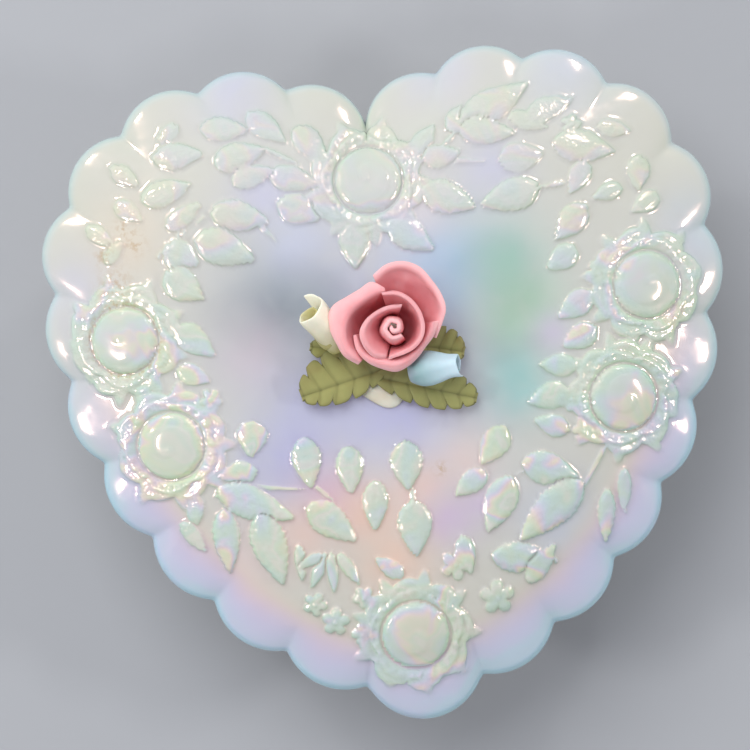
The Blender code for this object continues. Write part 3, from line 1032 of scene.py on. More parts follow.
# %% [markdown]
# The group mixes the patches one after another, then the rim's bands by how far out a level lies,
# then the motifs' bands by how high the glass stands. The moats round the motifs get a painted
# shade, a darker grey, and last of all come a few old tan stains, broken up into speckles by a fine
# noise.

# %% Build the lustre group


def spot(px, py, x, y, reach):
    """1 at a spot, fading out over its reach."""
    dx = (px - x) / reach
    dy = (py - y) / reach
    return ((dx * dx + dy * dy) * -1.0).exp()


def lustre_group():
    """Colour and roughness of lustred opal glass, read from Object coordinates."""
    tree, start, end = new_group(
        "pearl_lustre",
        "ShaderNodeTree",
        [("Strength", "NodeSocketFloat", 0.8)],
        [("Color", "NodeSocketColor"), ("Roughness", "NodeSocketFloat")],
    )
    strength = Field(tree, start.outputs["Strength"])
    place = object_place(tree)
    px, py, _ = split_vector(tree, place)
    px = px * 1000.0
    py = py * 1000.0 - PATTERN_SHIFT
    relief = read_attribute(tree, "relief")
    level = read_attribute(tree, "level")
    broad = noise(tree, place, 26.0, 2.0, 0.5, 0.5)
    fine = noise(tree, place, 105.0, 2.0, 0.5, 0.6)

    # lustre patches, on the plain crown painted reflections of the room in the film
    colour = CREAM
    ragged = fine * 0.9 + 0.5
    for x, y, reach, shade, weight in LUSTRE_AND_REFLECTION_PATCHES:
        fade = spot(px, py, x, y, reach) * ragged * strength * weight
        colour = mix_colours(tree, fade.minimum(1.0), colour, shade)

    # the rim's lustre and painted sheen, bluest at the outer edge and stronger towards the bottom
    rim_share = smooth_step(level, 0.74, 1.0) + (broad - 0.5) * 0.5 + (fine - 0.5) * 0.2
    rim_lustre_and_sheen = colour_ramp(tree, rim_share, RIM_LUSTRE_AND_SHEEN_BANDS)
    low = smooth_step(py + broad * 30.0, 36.0, -14.0) * 0.85 + smooth_step(level, 0.97, 1.0) * 0.4
    rim_amount = (smooth_step(level, 0.78, 0.93) * low * strength).minimum(0.95)
    colour = mix_colours(tree, rim_amount, colour, rim_lustre_and_sheen)

    # the raised motifs' lustre and painted sheen, its bands shifting with the height of the glass
    phase = (broad * 2.4 + fine * 2.3 + relief * 0.25).fract()
    motif_lustre_and_sheen = colour_ramp(tree, phase, MOTIF_LUSTRE_AND_SHEEN_BANDS)
    raised = smooth_step(relief, 0.12, 0.42) * (smooth_step(relief, 1.1, 1.6) * -0.35 + 0.8)
    raised = raised * (smooth_step(py, 40.0, -8.0) * 0.65 + 0.35)
    colour = mix_colours(tree, raised, colour, motif_lustre_and_sheen)
    # painted shade: a darker grey in the moats round the motifs
    foot = smooth_step(relief, -0.02, -0.12) * 0.65
    colour = mix_colours(tree, foot, colour, MOAT_PAINTED_SHADE)

    stained = 0.0
    for x, y, reach in STAINS:
        stained = spot(px, py, x, y, reach) + stained
    ring_x, ring_y, ring_radius = STAIN_RING
    dx = px - ring_x
    dy = py - ring_y
    off_ring = (dx * dx + dy * dy).sqrt() - ring_radius
    stained = (off_ring * off_ring * -2.2).exp() * 0.9 + stained
    speckle = smooth_step(noise(tree, place, 900.0, 3.0, 0.7), 0.42, 0.62)
    colour = mix_colours(tree, stained.minimum(1.0) * speckle * 0.55, colour, STAIN_TAN)
    tree.links.new(colour, end.inputs["Color"])
    tree.links.new((fine * 0.10 + 0.08).socket, end.inputs["Roughness"])
    return tree


lustre = lustre_group()
print("lustre group:", len(lustre.nodes), "nodes")

# %% [markdown]
# The glass itself is one Principled shader. A part of the light sinks in, a clear coat carries the
# sharp glints, and the film on top is a few hundred nanometres thick. Pressed glass is never quite
# flat: a slow ripple runs over all of it, and the low motifs carry the chatter of the cutter.

# %% Make the milk glass
MILK_GLASS = {
    "IOR": 1.5,
    "Subsurface Weight": 0.45,
    "Subsurface Radius": (1.0, 0.95, 0.9),
    "Subsurface Scale": 0.0022,
    "Coat Weight": 0.8,
    "Coat Roughness": 0.03,
    "Coat IOR": 1.6,
    "Thin Film Thickness": 420.0,
    "Thin Film IOR": 1.8,
}


def milk_glass():
    """Opal glass under a pearl lustre."""
    material, tree, shader = new_material("milk_glass")
    finish = place_group(tree, lustre, Strength=0.9)
    tree.links.new(finish.outputs["Color"], shader.inputs["Base Color"])
    tree.links.new(finish.outputs["Roughness"], shader.inputs["Roughness"])
    set_inputs(shader, MILK_GLASS)
    ripple = noise(tree, object_place(tree), 260.0, 1.0) * 0.3
    chisel = noise(tree, object_place(tree), 620.0, 2.0, 0.6) * 0.8
    relief = read_attribute(tree, "relief")
    chisel = chisel * smooth_step(relief, 0.08, 0.35) * smooth_step(relief, 1.4, 1.0)
    add_bump(tree, shader, ripple + chisel, 0.6, 0.0005)
    return material


glass = milk_glass()
print("material:", glass.name)

# %% [markdown]
# Glass has no sharp corners, and its patterned parts need many levels while its plain parts need
# few. A profile is therefore written with corners, which are cut off again and again until they are
# round, and then filled with levels that are no further apart than the pattern allows.

# %% Helpers for profiles
HEART_REACH = 60
FINE = heart_outline(40)
HALF = heart_outline(20)
COARSE = heart_outline(10)


def ease(value, low, high):
    """Smooth rise from 0 to 1 between low and high, in numpy."""
    share = np.clip((value - low) / (high - low), 0.0, 1.0)
    return share * share * (3 - 2 * share)


def level_span(a, b):
    """About how many mm lie between two levels."""
    return math.hypot((b[0] - a[0]) * HEART_REACH, b[3] - a[3])


def round_corners(levels, reach, rounds=3):
    """Cut the corners of a profile again and again, by reach mm at most."""
    for turn in range(rounds):
        cut = [levels[0]]
        for a, b in zip(levels, levels[1:]):
            span = level_span(a, b)
            share = min(0.25, reach / 2**turn / span)
            cut += [a + (b - a) * share, b - (b - a) * share]
        levels = cut + [levels[-1]]
    return levels


def fill_levels(levels, spacing):
    """Add levels so that none is further than spacing mm from the next."""
    filled = [levels[0]]
    for a, b in zip(levels, levels[1:]):
        count = math.ceil(level_span(a, b) / spacing)
        filled += [a + (b - a) * k / count for k in range(1, count + 1)]
    return filled


def store_pattern(mesh, mould, zone, level):
    """Keep each vertex's place in the mould, how much pattern it takes, and its level."""
    store_values(mesh, "level", level)
    layer = mesh.attributes.new("mould", "FLOAT_VECTOR", "POINT")
    layer.data.foreach_set("vector", np.ascontiguousarray(mould, np.float32).ravel())
    store_values(mesh, "zone", zone)


def for_vertices(rings, values, first, last):
    """One value for each ring and pole, spread over the vertices of a loft."""
    return np.concatenate([np.full(len(r), v) for r, v in zip(rings, values)] + [[first, last]])


print("points round a level:", [len(outline[0]) for outline in (FINE, HALF, COARSE)])

# %% [markdown]
# ## The lid
#
# The lid is one pressing: a domed top, a rounded scalloped rim, and below it a plain heart-shaped
# collar that drops into the bowl. The top falls away slowly in the middle and fast at the rim, and
# the scallops fade out as they run inwards, which makes each one swell like a small cushion.

# %% Shape the lid
# heights and falls in mm, and the scale at which the edge starts to round over
CROWN_HEIGHT = 45.0
LID_FALL = 12.2
EDGE_DROP = 1.3
RIM_ROUND = 1.2
EDGE_START = 0.978
LEVEL_STEP = 0.008
# scale, scallop, roundness and height of the levels underneath
LID_UNDER = np.array([
    (0.984, 1.0, 0.0, 30.3),
    (0.870, 0.0, 0.0, 30.3),
    (0.865, 0.0, 0.0, 27.6),
    (0.830, 0.0, 0.0, 27.6),
    (0.820, 0.0, 0.0, 32.7),
    (0.750, 0.0, 0.0, 36.4),
    (0.600, 0.0, 0.3, 39.0),
    (0.420, 0.0, 0.6, 40.3),
    (0.180, 0.0, 1.0, 41.0),
])
def lid_top_height(scale):
    """Height of the lid's top at a level's scale, with its edge rounded over."""
    over = np.clip((scale - EDGE_START) / (1 - EDGE_START), 0.0, 1.0)
    return CROWN_HEIGHT - LID_FALL * scale**3.3 - EDGE_DROP * (1 - np.sqrt(1 - over**2))


def lid_mesh():
    """The lid, from the middle of its ceiling out round the rim to the crown."""
    rings = []
    zones = []
    levels = []
    under = fill_levels(round_corners(list(LID_UNDER), 0.5), 3.0)[::-1]
    for scale, scallop, roundness, height in under:
        outline = COARSE if scale < 0.98 else HALF
        rings.append(level_ring(outline, scale, scallop, roundness, height))
        zones.append(0.0)
        levels.append(scale)
    for turn in np.linspace(90, 0, 6)[1:]:
        out = math.radians(turn)
        scale = 0.984 + 0.016 * math.cos(out)
        height = CROWN_HEIGHT - LID_FALL - EDGE_DROP - RIM_ROUND * math.sin(out)
        rings.append(level_ring(FINE, scale, 1.0, 0.0, height))
        zones.append(0.0)
        levels.append(1.0)
    over = EDGE_START + (1 - EDGE_START) * np.sin(np.radians([78, 66, 54, 42, 30, 18, 8]))
    top = np.concatenate([over, np.arange(EDGE_START, 0.16, -LEVEL_STEP), [0.11, 0.06]])
    for scale in top:
        outline = FINE if scale > 0.6 else HALF if scale > 0.3 else COARSE
        scallop = ease(scale, 0.86, 0.995)
        roundness = 1 - ease(scale, 0.12, 0.80)
        reach = 24 * (1 - scale)
        height = lid_top_height(scale)
        rings.append(level_ring(outline, scale, scallop, roundness, height, reach))
        zones.append(1 - ease(scale, 0.925, 0.96))
        levels.append(scale)
    mesh = loft_mesh("lid_pressed", rings, (0.0, 0.0, 41.1), (0.0, 0.0, CROWN_HEIGHT))
    zone = for_vertices(rings, zones, 0.0, 1.0)
    level = for_vertices(rings, levels, 0.0, 0.0)
    flat = np.array([v.co for v in mesh.vertices]) / MM
    mould = np.column_stack([flat[:, 0], flat[:, 1] - PATTERN_SHIFT, np.zeros(len(flat))])
    store_pattern(mesh, mould, zone, level)
    return mesh


lid = press("lid_glass", lid_mesh(), lid_tree, 1.0, glass)
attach(lid, "lid")
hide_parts("lid")
print("lid:", count_triangles(lid), "triangles")

# %% [markdown]
# ## The bowl
#
# The bowl is the other pressing: a foot ring, a flaring side and a scalloped rim that the lid's brim
# sits on. Its side is unrolled into a strip, distance round the heart against height, and the same
# stamps press a garland into that strip. Wrapping a flat pattern this way keeps its motifs upright.

# %% Shape the bowl
# scale, scallop, roundness and height of the levels from the underside over the rim to the floor
BOWL_LEVELS = np.array([
    (0.300, 0.0, 0.0, 1.5),
    (0.580, 0.0, 0.0, 1.5),
    (0.600, 0.0, 0.0, 0.0),
    (0.670, 0.0, 0.0, 0.0),
    (0.690, 0.1, 0.0, 1.2),
    (0.760, 0.3, 0.0, 8.0),
    (0.860, 0.5, 0.0, 18.0),
    (0.950, 0.8, 0.0, 25.0),
    (0.995, 0.8, 0.0, 27.6),
    (1.000, 0.8, 0.0, 29.0),
    (0.988, 0.8, 0.0, 30.0),
    (0.900, 0.0, 0.0, 30.0),
    (0.892, 0.0, 0.0, 26.0),
    (0.810, 0.0, 0.0, 18.0),
    (0.700, 0.0, 0.0, 8.5),
    (0.620, 0.0, 0.0, 5.0),
    (0.300, 0.0, 0.0, 5.0),
])
# spacing of the levels in mm where the garland is pressed, and where the glass is plain
GARLAND_SPACING = 0.66
PLAIN_SPACING = 2.5
FOOT_SCALE = 0.66
# the strip is shrunk round the heart, since the side leans in below the rim
BOWL_SHRINK = 0.8
GARLAND_END = 147.0
ROSE_SPACING = 34.0
BOWL_ROSES = [(ROSE_SPACING * k, 15.0, 1.3 * k) for k in range(-4, 5)]
# the leaves between two roses, from the middle of the gap
GAP_LEAVES = [
    (-2.0, 12.0, -7.5, 21.5, 5.4, 0.85),
    (1.5, 13.0, 6.5, 22.5, 5.6, 0.90),
    (-1.0, 13.5, -6.5, 5.5, 5.2, 0.85),
    (2.0, 12.5, 8.0, 5.0, 5.2, 0.85),
]
GAPS = [ROSE_SPACING * (k + 0.5) for k in range(-4, 4)]
BOWL_LEAVES = [(a + g, b, c + g, d, w, h) for g in GAPS for a, b, c, d, w, h in GAP_LEAVES]
BOWL_STEMS = [(g - 8.0, 14.0, g + 8.0, 12.5) for g in GAPS]
BOWL_FLOWERS = [(g, 13.0, 2.8) for g in GAPS]


def bowl_levels():
    """The bowl's levels in order, and the numbers at which its patterned side starts and ends."""
    rounded = round_corners(list(BOWL_LEVELS), 0.6)
    foot = next(k for k, level in enumerate(rounded) if level[3] > 1.5 and level[0] > FOOT_SCALE)
    rim = next(k for k, level in enumerate(rounded) if level[3] > 27.5)
    under = fill_levels(rounded[: foot + 1], PLAIN_SPACING)
    side = fill_levels(rounded[foot : rim + 1], GARLAND_SPACING)[1:]
    inside = fill_levels(rounded[rim:], PLAIN_SPACING)[1:]
    return under + side + inside, len(under), len(under) + len(side)


def bowl_mesh():
    """The bowl, from the middle of its underside out and over the rim to its floor."""
    levels, side_start, side_end = bowl_levels()
    points = FINE[0]
    steps = np.linalg.norm(np.roll(points, -1, 0) - points, axis=1)
    around = np.concatenate([[0.0], np.cumsum(steps)[:-1]])
    around = np.where(around > steps.sum() / 2, around - steps.sum(), around) * BOWL_SHRINK
    rings = []
    moulds = []
    zones = []
    for k, level in enumerate(levels):
        scale, height = level[0], level[3]
        on_side = side_start <= k < side_end
        hidden = scale < (0.62 if k < side_start else 0.9)
        outline, thinning = (FINE, 1) if on_side else (COARSE, 4) if hidden else (HALF, 2)
        place = around[::thinning]
        rings.append(level_ring(outline, *level))
        moulds.append(np.column_stack([place, place * 0 + height, place * 0]))
        band = ease(height, 2.6, 4.6) * (1 - ease(height, 24.5, 26.5)) * on_side
        zones.append(band * (1 - ease(np.abs(place), GARLAND_END, GARLAND_END + 6)))
    mesh = loft_mesh("bowl_pressed", rings, (0.0, 0.0, 1.5), (0.0, 0.0, 5.0))
    level = for_vertices(rings, [level[0] for level in levels], 0.0, 0.0)
    mould = np.concatenate(moulds + [np.zeros((2, 3))])
    store_pattern(mesh, mould, np.concatenate(zones + [np.zeros(2)]), level)
    return mesh


bowl_tree = pressing_tree("press_bowl", BOWL_ROSES, BOWL_LEAVES, BOWL_STEMS, BOWL_FLOWERS)
bowl = press("bowl_glass", bowl_mesh(), bowl_tree, 0.9, glass)
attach(bowl, "base")
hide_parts("box_base")
print("bowl:", count_triangles(bowl), "triangles")

# %% [markdown]
# ## Clay for the bouquet
#
# The flowers are cold porcelain, a fine clay that is rolled thin, wound by hand and left matt.
# Their colour carries painted light and shade: paler at the thin lips, where light comes through,
# and darker deep down between the petals, in the creases of the leaves and inside the buds. Each
# sheet stores that painted shade as a number from foot to lip. One node group turns it into colour
# with a fine grain, and each clay gives the group its own lit and shaded colour.

# %% Build the clay group and the clays
DRY_CLAY = {
    "Subsurface Radius": (1.0, 0.45, 0.35),
    "Subsurface Scale": 0.0012,
    "Coat Weight": 0.12,
    "Coat Roughness": 0.35,
}


def clay_group():
    """Colour, roughness and height of hand-rolled clay, with painted shade from the shade attribute.
    """
    tree, start, end = new_group(
        "rolled_clay",
        "ShaderNodeTree",
        [
            ("Light", "NodeSocketColor", None),
            ("Deep", "NodeSocketColor", None),
            ("Stain", "NodeSocketColor", None),
            ("Stain Amount", "NodeSocketFloat", 0.3),
        ],
        [
            ("Color", "NodeSocketColor"),
            ("Roughness", "NodeSocketFloat"),
            ("Height", "NodeSocketFloat"),
        ],
    )
    place = object_place(tree)
    shade = read_attribute(tree, "shade")
    mottle = noise(tree, place, 420.0, 3.0, 0.55)
    grain = noise(tree, place, 2600.0, 3.0, 0.7)
    cloud = noise(tree, place, 170.0, 2.0, 0.5)
    # painted shade: the shaded colour deep down, the lit colour at the lips
    level = smooth_step(shade + (mottle - 0.5) * 0.22, 0.0, 1.0)
    colour = mix_colours(tree, level, start.outputs["Deep"], start.outputs["Light"])
    stain = smooth_step(cloud, 0.5, 0.75) * Field(tree, start.outputs["Stain Amount"])
    colour = mix_colours(tree, stain, colour, start.outputs["Stain"])
    speck = smooth_step(grain, 0.62, 0.75) * 0.12
    colour = mix_colours(tree, speck, colour, start.outputs["Deep"])
    tree.links.new(colour, end.inputs["Color"])
    tree.links.new((mottle * 0.25 + 0.42).socket, end.inputs["Roughness"])
    tree.links.new((grain * 0.3 + mottle * 0.7).socket, end.inputs["Height"])
    return tree


def clay(name, lit, shaded, stain, stain_amount, glow):
    """A matt clay; glow is how much light sinks into it."""
    material, tree, shader = new_material(name)
    surface = place_group(
        tree, rolled_clay, Light=lit, Deep=shaded, Stain=stain, Stain_Amount=stain_amount
    )
    tree.links.new(surface.outputs["Color"], shader.inputs["Base Color"])
    tree.links.new(surface.outputs["Roughness"], shader.inputs["Roughness"])
    set_inputs(shader, DRY_CLAY)
    shader.inputs["Subsurface Weight"].default_value = glow
    add_bump(tree, shader, Field(tree, surface.outputs["Height"]), 0.35, 0.00012)
    return material


rolled_clay = clay_group()
# lit colour, painted-shade colour and stain colour, amount of stain, and glow
CLAYS = {
    "pink_clay": (tint(250, 188, 190), tint(206, 102, 110), tint(248, 198, 200), 0.30, 0.20),
    "cream_clay": (tint(246, 242, 220), tint(178, 170, 96), tint(212, 196, 160), 0.40, 0.15),
    "blue_clay": (tint(196, 220, 230), tint(112, 160, 156), tint(206, 200, 224), 0.50, 0.12),
    "olive_clay": (tint(160, 159, 98), tint(92, 90, 50), tint(140, 126, 76), 0.55, 0.05),
    "dried_glue": (tint(226, 222, 206), tint(190, 182, 158), tint(206, 190, 158), 0.50, 0.25),
}
clays = {clay_name: clay(clay_name, *finish) for clay_name, finish in CLAYS.items()}
print("clays:", ", ".join(clays))

# %% [markdown]
# ## A sheet of clay
#
# A petal, a leaf and a bud are all the same thing to the maker: a thin sheet that is bent. Here a
# sheet is a grid of points. A smooth curve is passed through a few rows and columns of given
# points, the sheet gets its thickness both ways from that grid, thinner at the edges, and one level
# of subdivision rounds the rim, as fingers do.

# %% Helpers for sheets of clay
BOUQUET_SHIFT = np.array([0.0, PATTERN_SHIFT, 0.0])
ROSE_BOTTOM = 47.4


def smooth_through(points, count):
    """A smooth curve of so many points through the first axis of an array."""
    points = np.asarray(points, float)
    ends = [2 * points[:1] - points[1:2], points, 2 * points[-1:] - points[-2:-1]]
    padded = np.concatenate(ends)
    place = np.linspace(0, len(points) - 1, count)
    first = np.minimum(place.astype(int), len(points) - 2)
    t = (place - first).reshape([-1] + [1] * (points.ndim - 1))
    a, b, c, d = [padded[first + k] for k in range(4)]
    curve = 2 * b + (c - a) * t + (2 * a - 5 * b + 4 * c - d) * t**2
    return 0.5 * (curve + (3 * b - a - 3 * c + d) * t**3)


def sheet_mesh(name, grid, thickness, shade, material):
    """A closed sheet about a (rows, columns, 3) grid in mm, with its painted shade from 0 to 1."""
    rows, columns, _ = grid.shape
    down = np.gradient(grid, axis=0)
    along = np.gradient(grid, axis=1)
    normal = np.cross(along, down)
    normal /= np.linalg.norm(normal, axis=2)[:, :, None] + 1e-9
    half = normal * thickness[:, :, None] / 2
    places = np.concatenate([(grid + half).reshape(-1, 3), (grid - half).reshape(-1, 3)])
    number = np.arange(rows * columns).reshape(rows, columns)
    back = rows * columns
    faces = []
    for i in range(rows - 1):
        for j in range(columns - 1):
            quad = (number[i, j], number[i, j + 1], number[i + 1, j + 1], number[i + 1, j])
            faces.append(quad)
            faces.append(tuple(k + back for k in quad[::-1]))
    border = [*number[0, :-1], *number[:-1, -1], *number[-1, :0:-1], *number[:0:-1, 0]]
    for a, b in zip(border, border[1:] + border[:1]):
        faces.append((b, a, a + back, b + back))
    mesh = bpy.data.meshes.new(name)
    mesh.from_pydata((places * MM).tolist(), [], [[int(k) for k in face] for face in faces])
    turned = bmesh.new()
    turned.from_mesh(mesh)
    bmesh.ops.recalc_face_normals(turned, faces=turned.faces)
    turned.to_mesh(mesh)
    turned.free()
    store_values(mesh, "shade", np.concatenate([shade.ravel(), shade.ravel()]))
    mesh.materials.append(material)
    mesh.shade_smooth()
    return mesh


def edge_taper(rows, columns, thick, thin, lip_rows=0.15, side_columns=0.08):
    """Thickness of a sheet that thins towards its last row and both its sides."""
    v = np.linspace(0, 1, rows)[:, None]
    u = np.linspace(0, 1, columns)[None, :]
    lip = ease(1 - v, 0.0, lip_rows)
    side = ease(np.minimum(u, 1 - u), 0.0, side_columns)
    return thin + (thick - thin) * np.minimum(lip, side)


def add_clay(name, mesh, node):
    """Finish a clay piece: round it, put it on the lid and let it stand for its CAD node."""
    piece = link_object(name, mesh)
    rounding = piece.modifiers.new("rounding", "SUBSURF")
    rounding.levels = 1
    rounding.render_levels = 1
    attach(piece, "lid")
    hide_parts(node)


print("the foot of the rose stands at", ROSE_BOTTOM, "mm")

# %% [markdown]
# ## The rose
#
# Five petals wrap a coil. The two inner ones stand up and shade the coil, the front and left ones
# roll outwards so that their tops catch the light, and the back one is an open cup. Each petal is a
# fan of columns round the axis. A column says how far out the petal is at its belly, crest and lip.

# %% Shape the petals
ROSE_CENTRE = (1.1, 4.85)
# columns: angle, belly, crest and lip radius, crest and lip height above the foot of the rose
PETALS = {
    "rose_inner_petal_left": [
        (64, 2.9, 3.9, 4.4, 9.7, 9.8),
        (96, 2.9, 3.6, 3.9, 10.3, 10.3),
        (128, 2.9, 3.8, 4.2, 10.4, 10.4),
        (158, 2.9, 4.6, 5.2, 10.3, 10.2),
        (182, 3.0, 5.3, 6.2, 10.0, 9.7),
        (206, 3.0, 5.5, 6.4, 9.6, 9.2),
        (230, 3.1, 5.5, 6.4, 9.0, 8.6),
        (250, 3.2, 5.0, 5.8, 8.2, 7.8),
    ],
    "rose_inner_petal_right": [
        (-106, 3.8, 5.2, 5.8, 8.6, 8.5),
        (-80, 3.9, 4.7, 5.0, 9.3, 9.3),
        (-54, 4.0, 4.8, 5.1, 9.7, 9.7),
        (-30, 4.2, 5.0, 5.3, 9.9, 9.9),
        (-8, 4.3, 5.1, 5.4, 10.0, 10.0),
        (16, 4.4, 5.1, 5.4, 10.0, 10.0),
        (38, 4.5, 5.3, 5.6, 9.9, 9.9),
        (60, 4.6, 5.7, 6.0, 9.7, 9.7),
        (82, 4.7, 6.1, 6.5, 9.4, 9.4),
        (104, 4.7, 6.2, 6.6, 8.8, 8.8),
    ],
    "rose_front_petal": [
        (184, 6.0, 6.9, 7.4, 7.4, 7.2),
        (206, 5.6, 7.0, 7.8, 8.0, 7.6),
        (228, 5.2, 6.7, 7.8, 8.3, 7.7),
        (250, 5.0, 6.3, 7.7, 8.4, 7.6),
        (268, 5.0, 6.2, 7.9, 8.4, 7.4),
        (286, 5.0, 5.9, 7.3, 8.4, 7.5),
        (304, 5.1, 5.7, 6.8, 8.4, 7.7),
        (323, 5.3, 5.8, 6.6, 8.4, 7.8),
        (343, 5.5, 6.2, 7.3, 8.3, 7.6),
        (363, 5.6, 6.8, 8.3, 8.0, 7.4),
    ],
    "rose_left_petal": [
        (97, 6.0, 6.7, 7.2, 8.6, 8.3),
        (110, 6.0, 6.9, 9.2, 8.8, 8.2),
        (126, 6.1, 7.1, 9.3, 8.9, 8.0),
        (141, 6.3, 7.6, 10.2, 8.8, 7.6),
        (154, 6.6, 8.2, 11.7, 8.6, 7.2),
        (166, 6.8, 8.6, 12.1, 8.5, 6.9),
        (178, 6.9, 8.8, 11.4, 8.4, 6.9),
        (190, 7.0, 8.9, 10.7, 8.2, 7.0),
        (204, 7.0, 8.8, 10.3, 8.0, 7.0),
        (220, 6.9, 8.3, 9.2, 7.4, 6.8),
    ],
    "rose_back_petal": [
        (-20, 5.6, 6.9, 7.9, 6.4, 6.7),
        (-2, 5.8, 7.2, 8.7, 6.4, 7.4),
        (14, 6.2, 8.2, 10.0, 6.2, 7.8),
        (30, 6.4, 9.0, 10.5, 6.3, 8.1),
        (46, 6.6, 9.4, 11.0, 6.5, 8.3),
        (61, 6.8, 10.0, 11.9, 6.6, 8.4),
        (76, 6.8, 10.2, 12.1, 6.6, 8.3),
        (91, 6.8, 9.6, 11.5, 6.6, 8.1),
        (106, 6.6, 8.4, 10.2, 6.8, 7.8),
    ],
}
# thickness of the clay in mm at the belly of a petal and at its lip
PETAL_THICKNESS = 0.75
PETAL_LIP = 0.34


def petal_grid(columns, rows=22, spread=56):
    """The middle surface of a petal from its columns, in mm."""
    angle, belly, crest, lip, crest_z, lip_z = np.array(columns, float).T
    roll = (crest + lip) / 2
    radii = np.stack([belly * 0.45, belly * 0.8, belly, crest, roll, lip])
    roll_z = np.maximum(crest_z, lip_z) * 0.35 + (crest_z + lip_z) * 0.325 + 0.12
    heights = np.stack(
        [crest_z * 0 + 0.4, crest_z * 0.25, crest_z * 0.62, crest_z, roll_z, lip_z]
    )
    turn = np.radians(angle)[None, :]
    x = ROSE_CENTRE[0] + radii * np.cos(turn)
    y = ROSE_CENTRE[1] + radii * np.sin(turn)
    points = np.stack([x, y, heights + ROSE_BOTTOM], axis=2)
    fine_rows = smooth_through(points, rows)
    fine = smooth_through(fine_rows.transpose(1, 0, 2), spread).transpose(1, 0, 2)
    return fine + BOUQUET_SHIFT


for petal_name, petal_columns in PETALS.items():
    grid = petal_grid(petal_columns)
    thickness = edge_taper(*grid.shape[:2], PETAL_THICKNESS, PETAL_LIP)
    # painted shade: darker towards the foot, deep down between the petals, paler up to the lip
    rise = np.linspace(0, 1, grid.shape[0])[:, None] ** 1.3
    shade = np.broadcast_to(rise, grid.shape[:2])
    petal = sheet_mesh(petal_name + "_clay", grid, thickness, shade, clays["pink_clay"])
    add_clay(petal_name + "_clay", petal, petal_name)
    print(petal_name, "lip up to", round(float(grid[:, :, 2].max()), 1), "mm")

# %% [markdown]
# The core is a strip of clay wound up on itself, so it is made as it is in the hand: a strip whose
# radius grows as it turns. From above its edge is a spiral, which a solid plug wouldn't show.

# %% Wind the core of the rose
CORE_TURNS = 1.45
CORE_START = 2.6
PLEAT = 0.05


def wound_grid(turns, start, inner, outer, radii, lengths, rows=20, spread=90):
    """A strip wound about Z: radii shape it from foot to lip, lengths from inside to outside."""
    share = np.linspace(0, 1, spread)[None, :]
    rise = np.linspace(0, 1, rows)[:, None]
    angle = start + turns * 2 * math.pi * share
    shape = smooth_through(np.array(radii, float), rows)[:, None]
    radius = (inner + (outer - inner) * share) * shape
    radius = radius * (1 + PLEAT * np.cos(5 * angle + 3 * rise) * ease(rise, 0.0, 0.6))
    length = smooth_through(np.array(lengths, float), spread)[None, :]
    grid = [radius * np.cos(angle), radius * np.sin(angle), rise * length]
    return np.stack(np.broadcast_arrays(*grid), axis=2)


core_grid = wound_grid(
    CORE_TURNS, CORE_START, 0.34, 2.8, (0.75, 0.95, 1.0, 0.97, 0.86, 0.66),
    (10.9, 11.2, 11.3, 11.2, 11.0, 10.4),
)
core_grid += np.array([*ROSE_CENTRE, ROSE_BOTTOM]) + BOUQUET_SHIFT
# painted shade: the coil darker towards its foot, down inside the rose
core_rise = np.linspace(0, 1, core_grid.shape[0])[:, None] ** 2.2
core_shade = np.broadcast_to(core_rise, core_grid.shape[:2])
core_mesh = sheet_mesh(
    "rose_core_clay", core_grid, edge_taper(*core_grid.shape[:2], 1.05, 0.8), core_shade,
    clays["pink_clay"],
)
add_clay("rose_core_clay", core_mesh, "rose_core")
print("core top", round(float(core_grid[:, :, 2].max()), 1), "mm")

# %% [markdown]
# ## The two buds
#
# Each bud is a strip wound round a thin plug, lying almost flat. The winding is the same one as for
# the rose's core, turned so that it points from its root to its mouth. The outer end of the strip is
# longer and stands out past the mouth.

# %% Wind the buds


def aimed(grid, root, mouth, roll):
    """A grid about Z moved to start at root and point at mouth, rolled by an angle."""
    axis = Vector(mouth) - Vector(root)
    turn = axis.to_track_quat("Z", "Y").to_matrix() @ Matrix.Rotation(roll, 3, "Z")
    return grid @ np.array(turn).T + np.array(root) + BOUQUET_SHIFT


def turned_grid(radii, heights, spread=28):
    """A solid of revolution as a closed grid, for the plug inside a bud."""
    angle = np.linspace(0, 2 * math.pi, spread + 1)[None, :]
    radius = smooth_through(np.array(radii, float), 14)[:, None]
    height = smooth_through(np.array(heights, float), 14)[:, None]
    grid = [radius * np.cos(angle), radius * np.sin(angle), height + angle * 0]
    return np.stack(grid, axis=2)


def plug_mesh(name, grid, material):
    """A closed plug from a grid of revolution, in painted shade all over."""
    rows, columns, _ = grid.shape
    places = grid[:, :-1].reshape(-1, 3) * MM
    columns -= 1
    faces = []
    for i in range(rows - 1):
        for j in range(columns):
            k = (j + 1) % columns
            a, b = i * columns, (i + 1) * columns
            faces.append((a + j, a + k, b + k, b + j))
    faces.append(tuple(range(columns))[::-1])
    faces.append(tuple(range((rows - 1) * columns, rows * columns)))
    mesh = bpy.data.meshes.new(name)
    mesh.from_pydata(places.tolist(), [], faces)
    # the plug sits inside the bud's mouth, so it takes a painted shade all over
    store_values(mesh, "shade", np.full(len(places), 0.18))
    mesh.materials.append(material)
    mesh.shade_smooth()
    return mesh


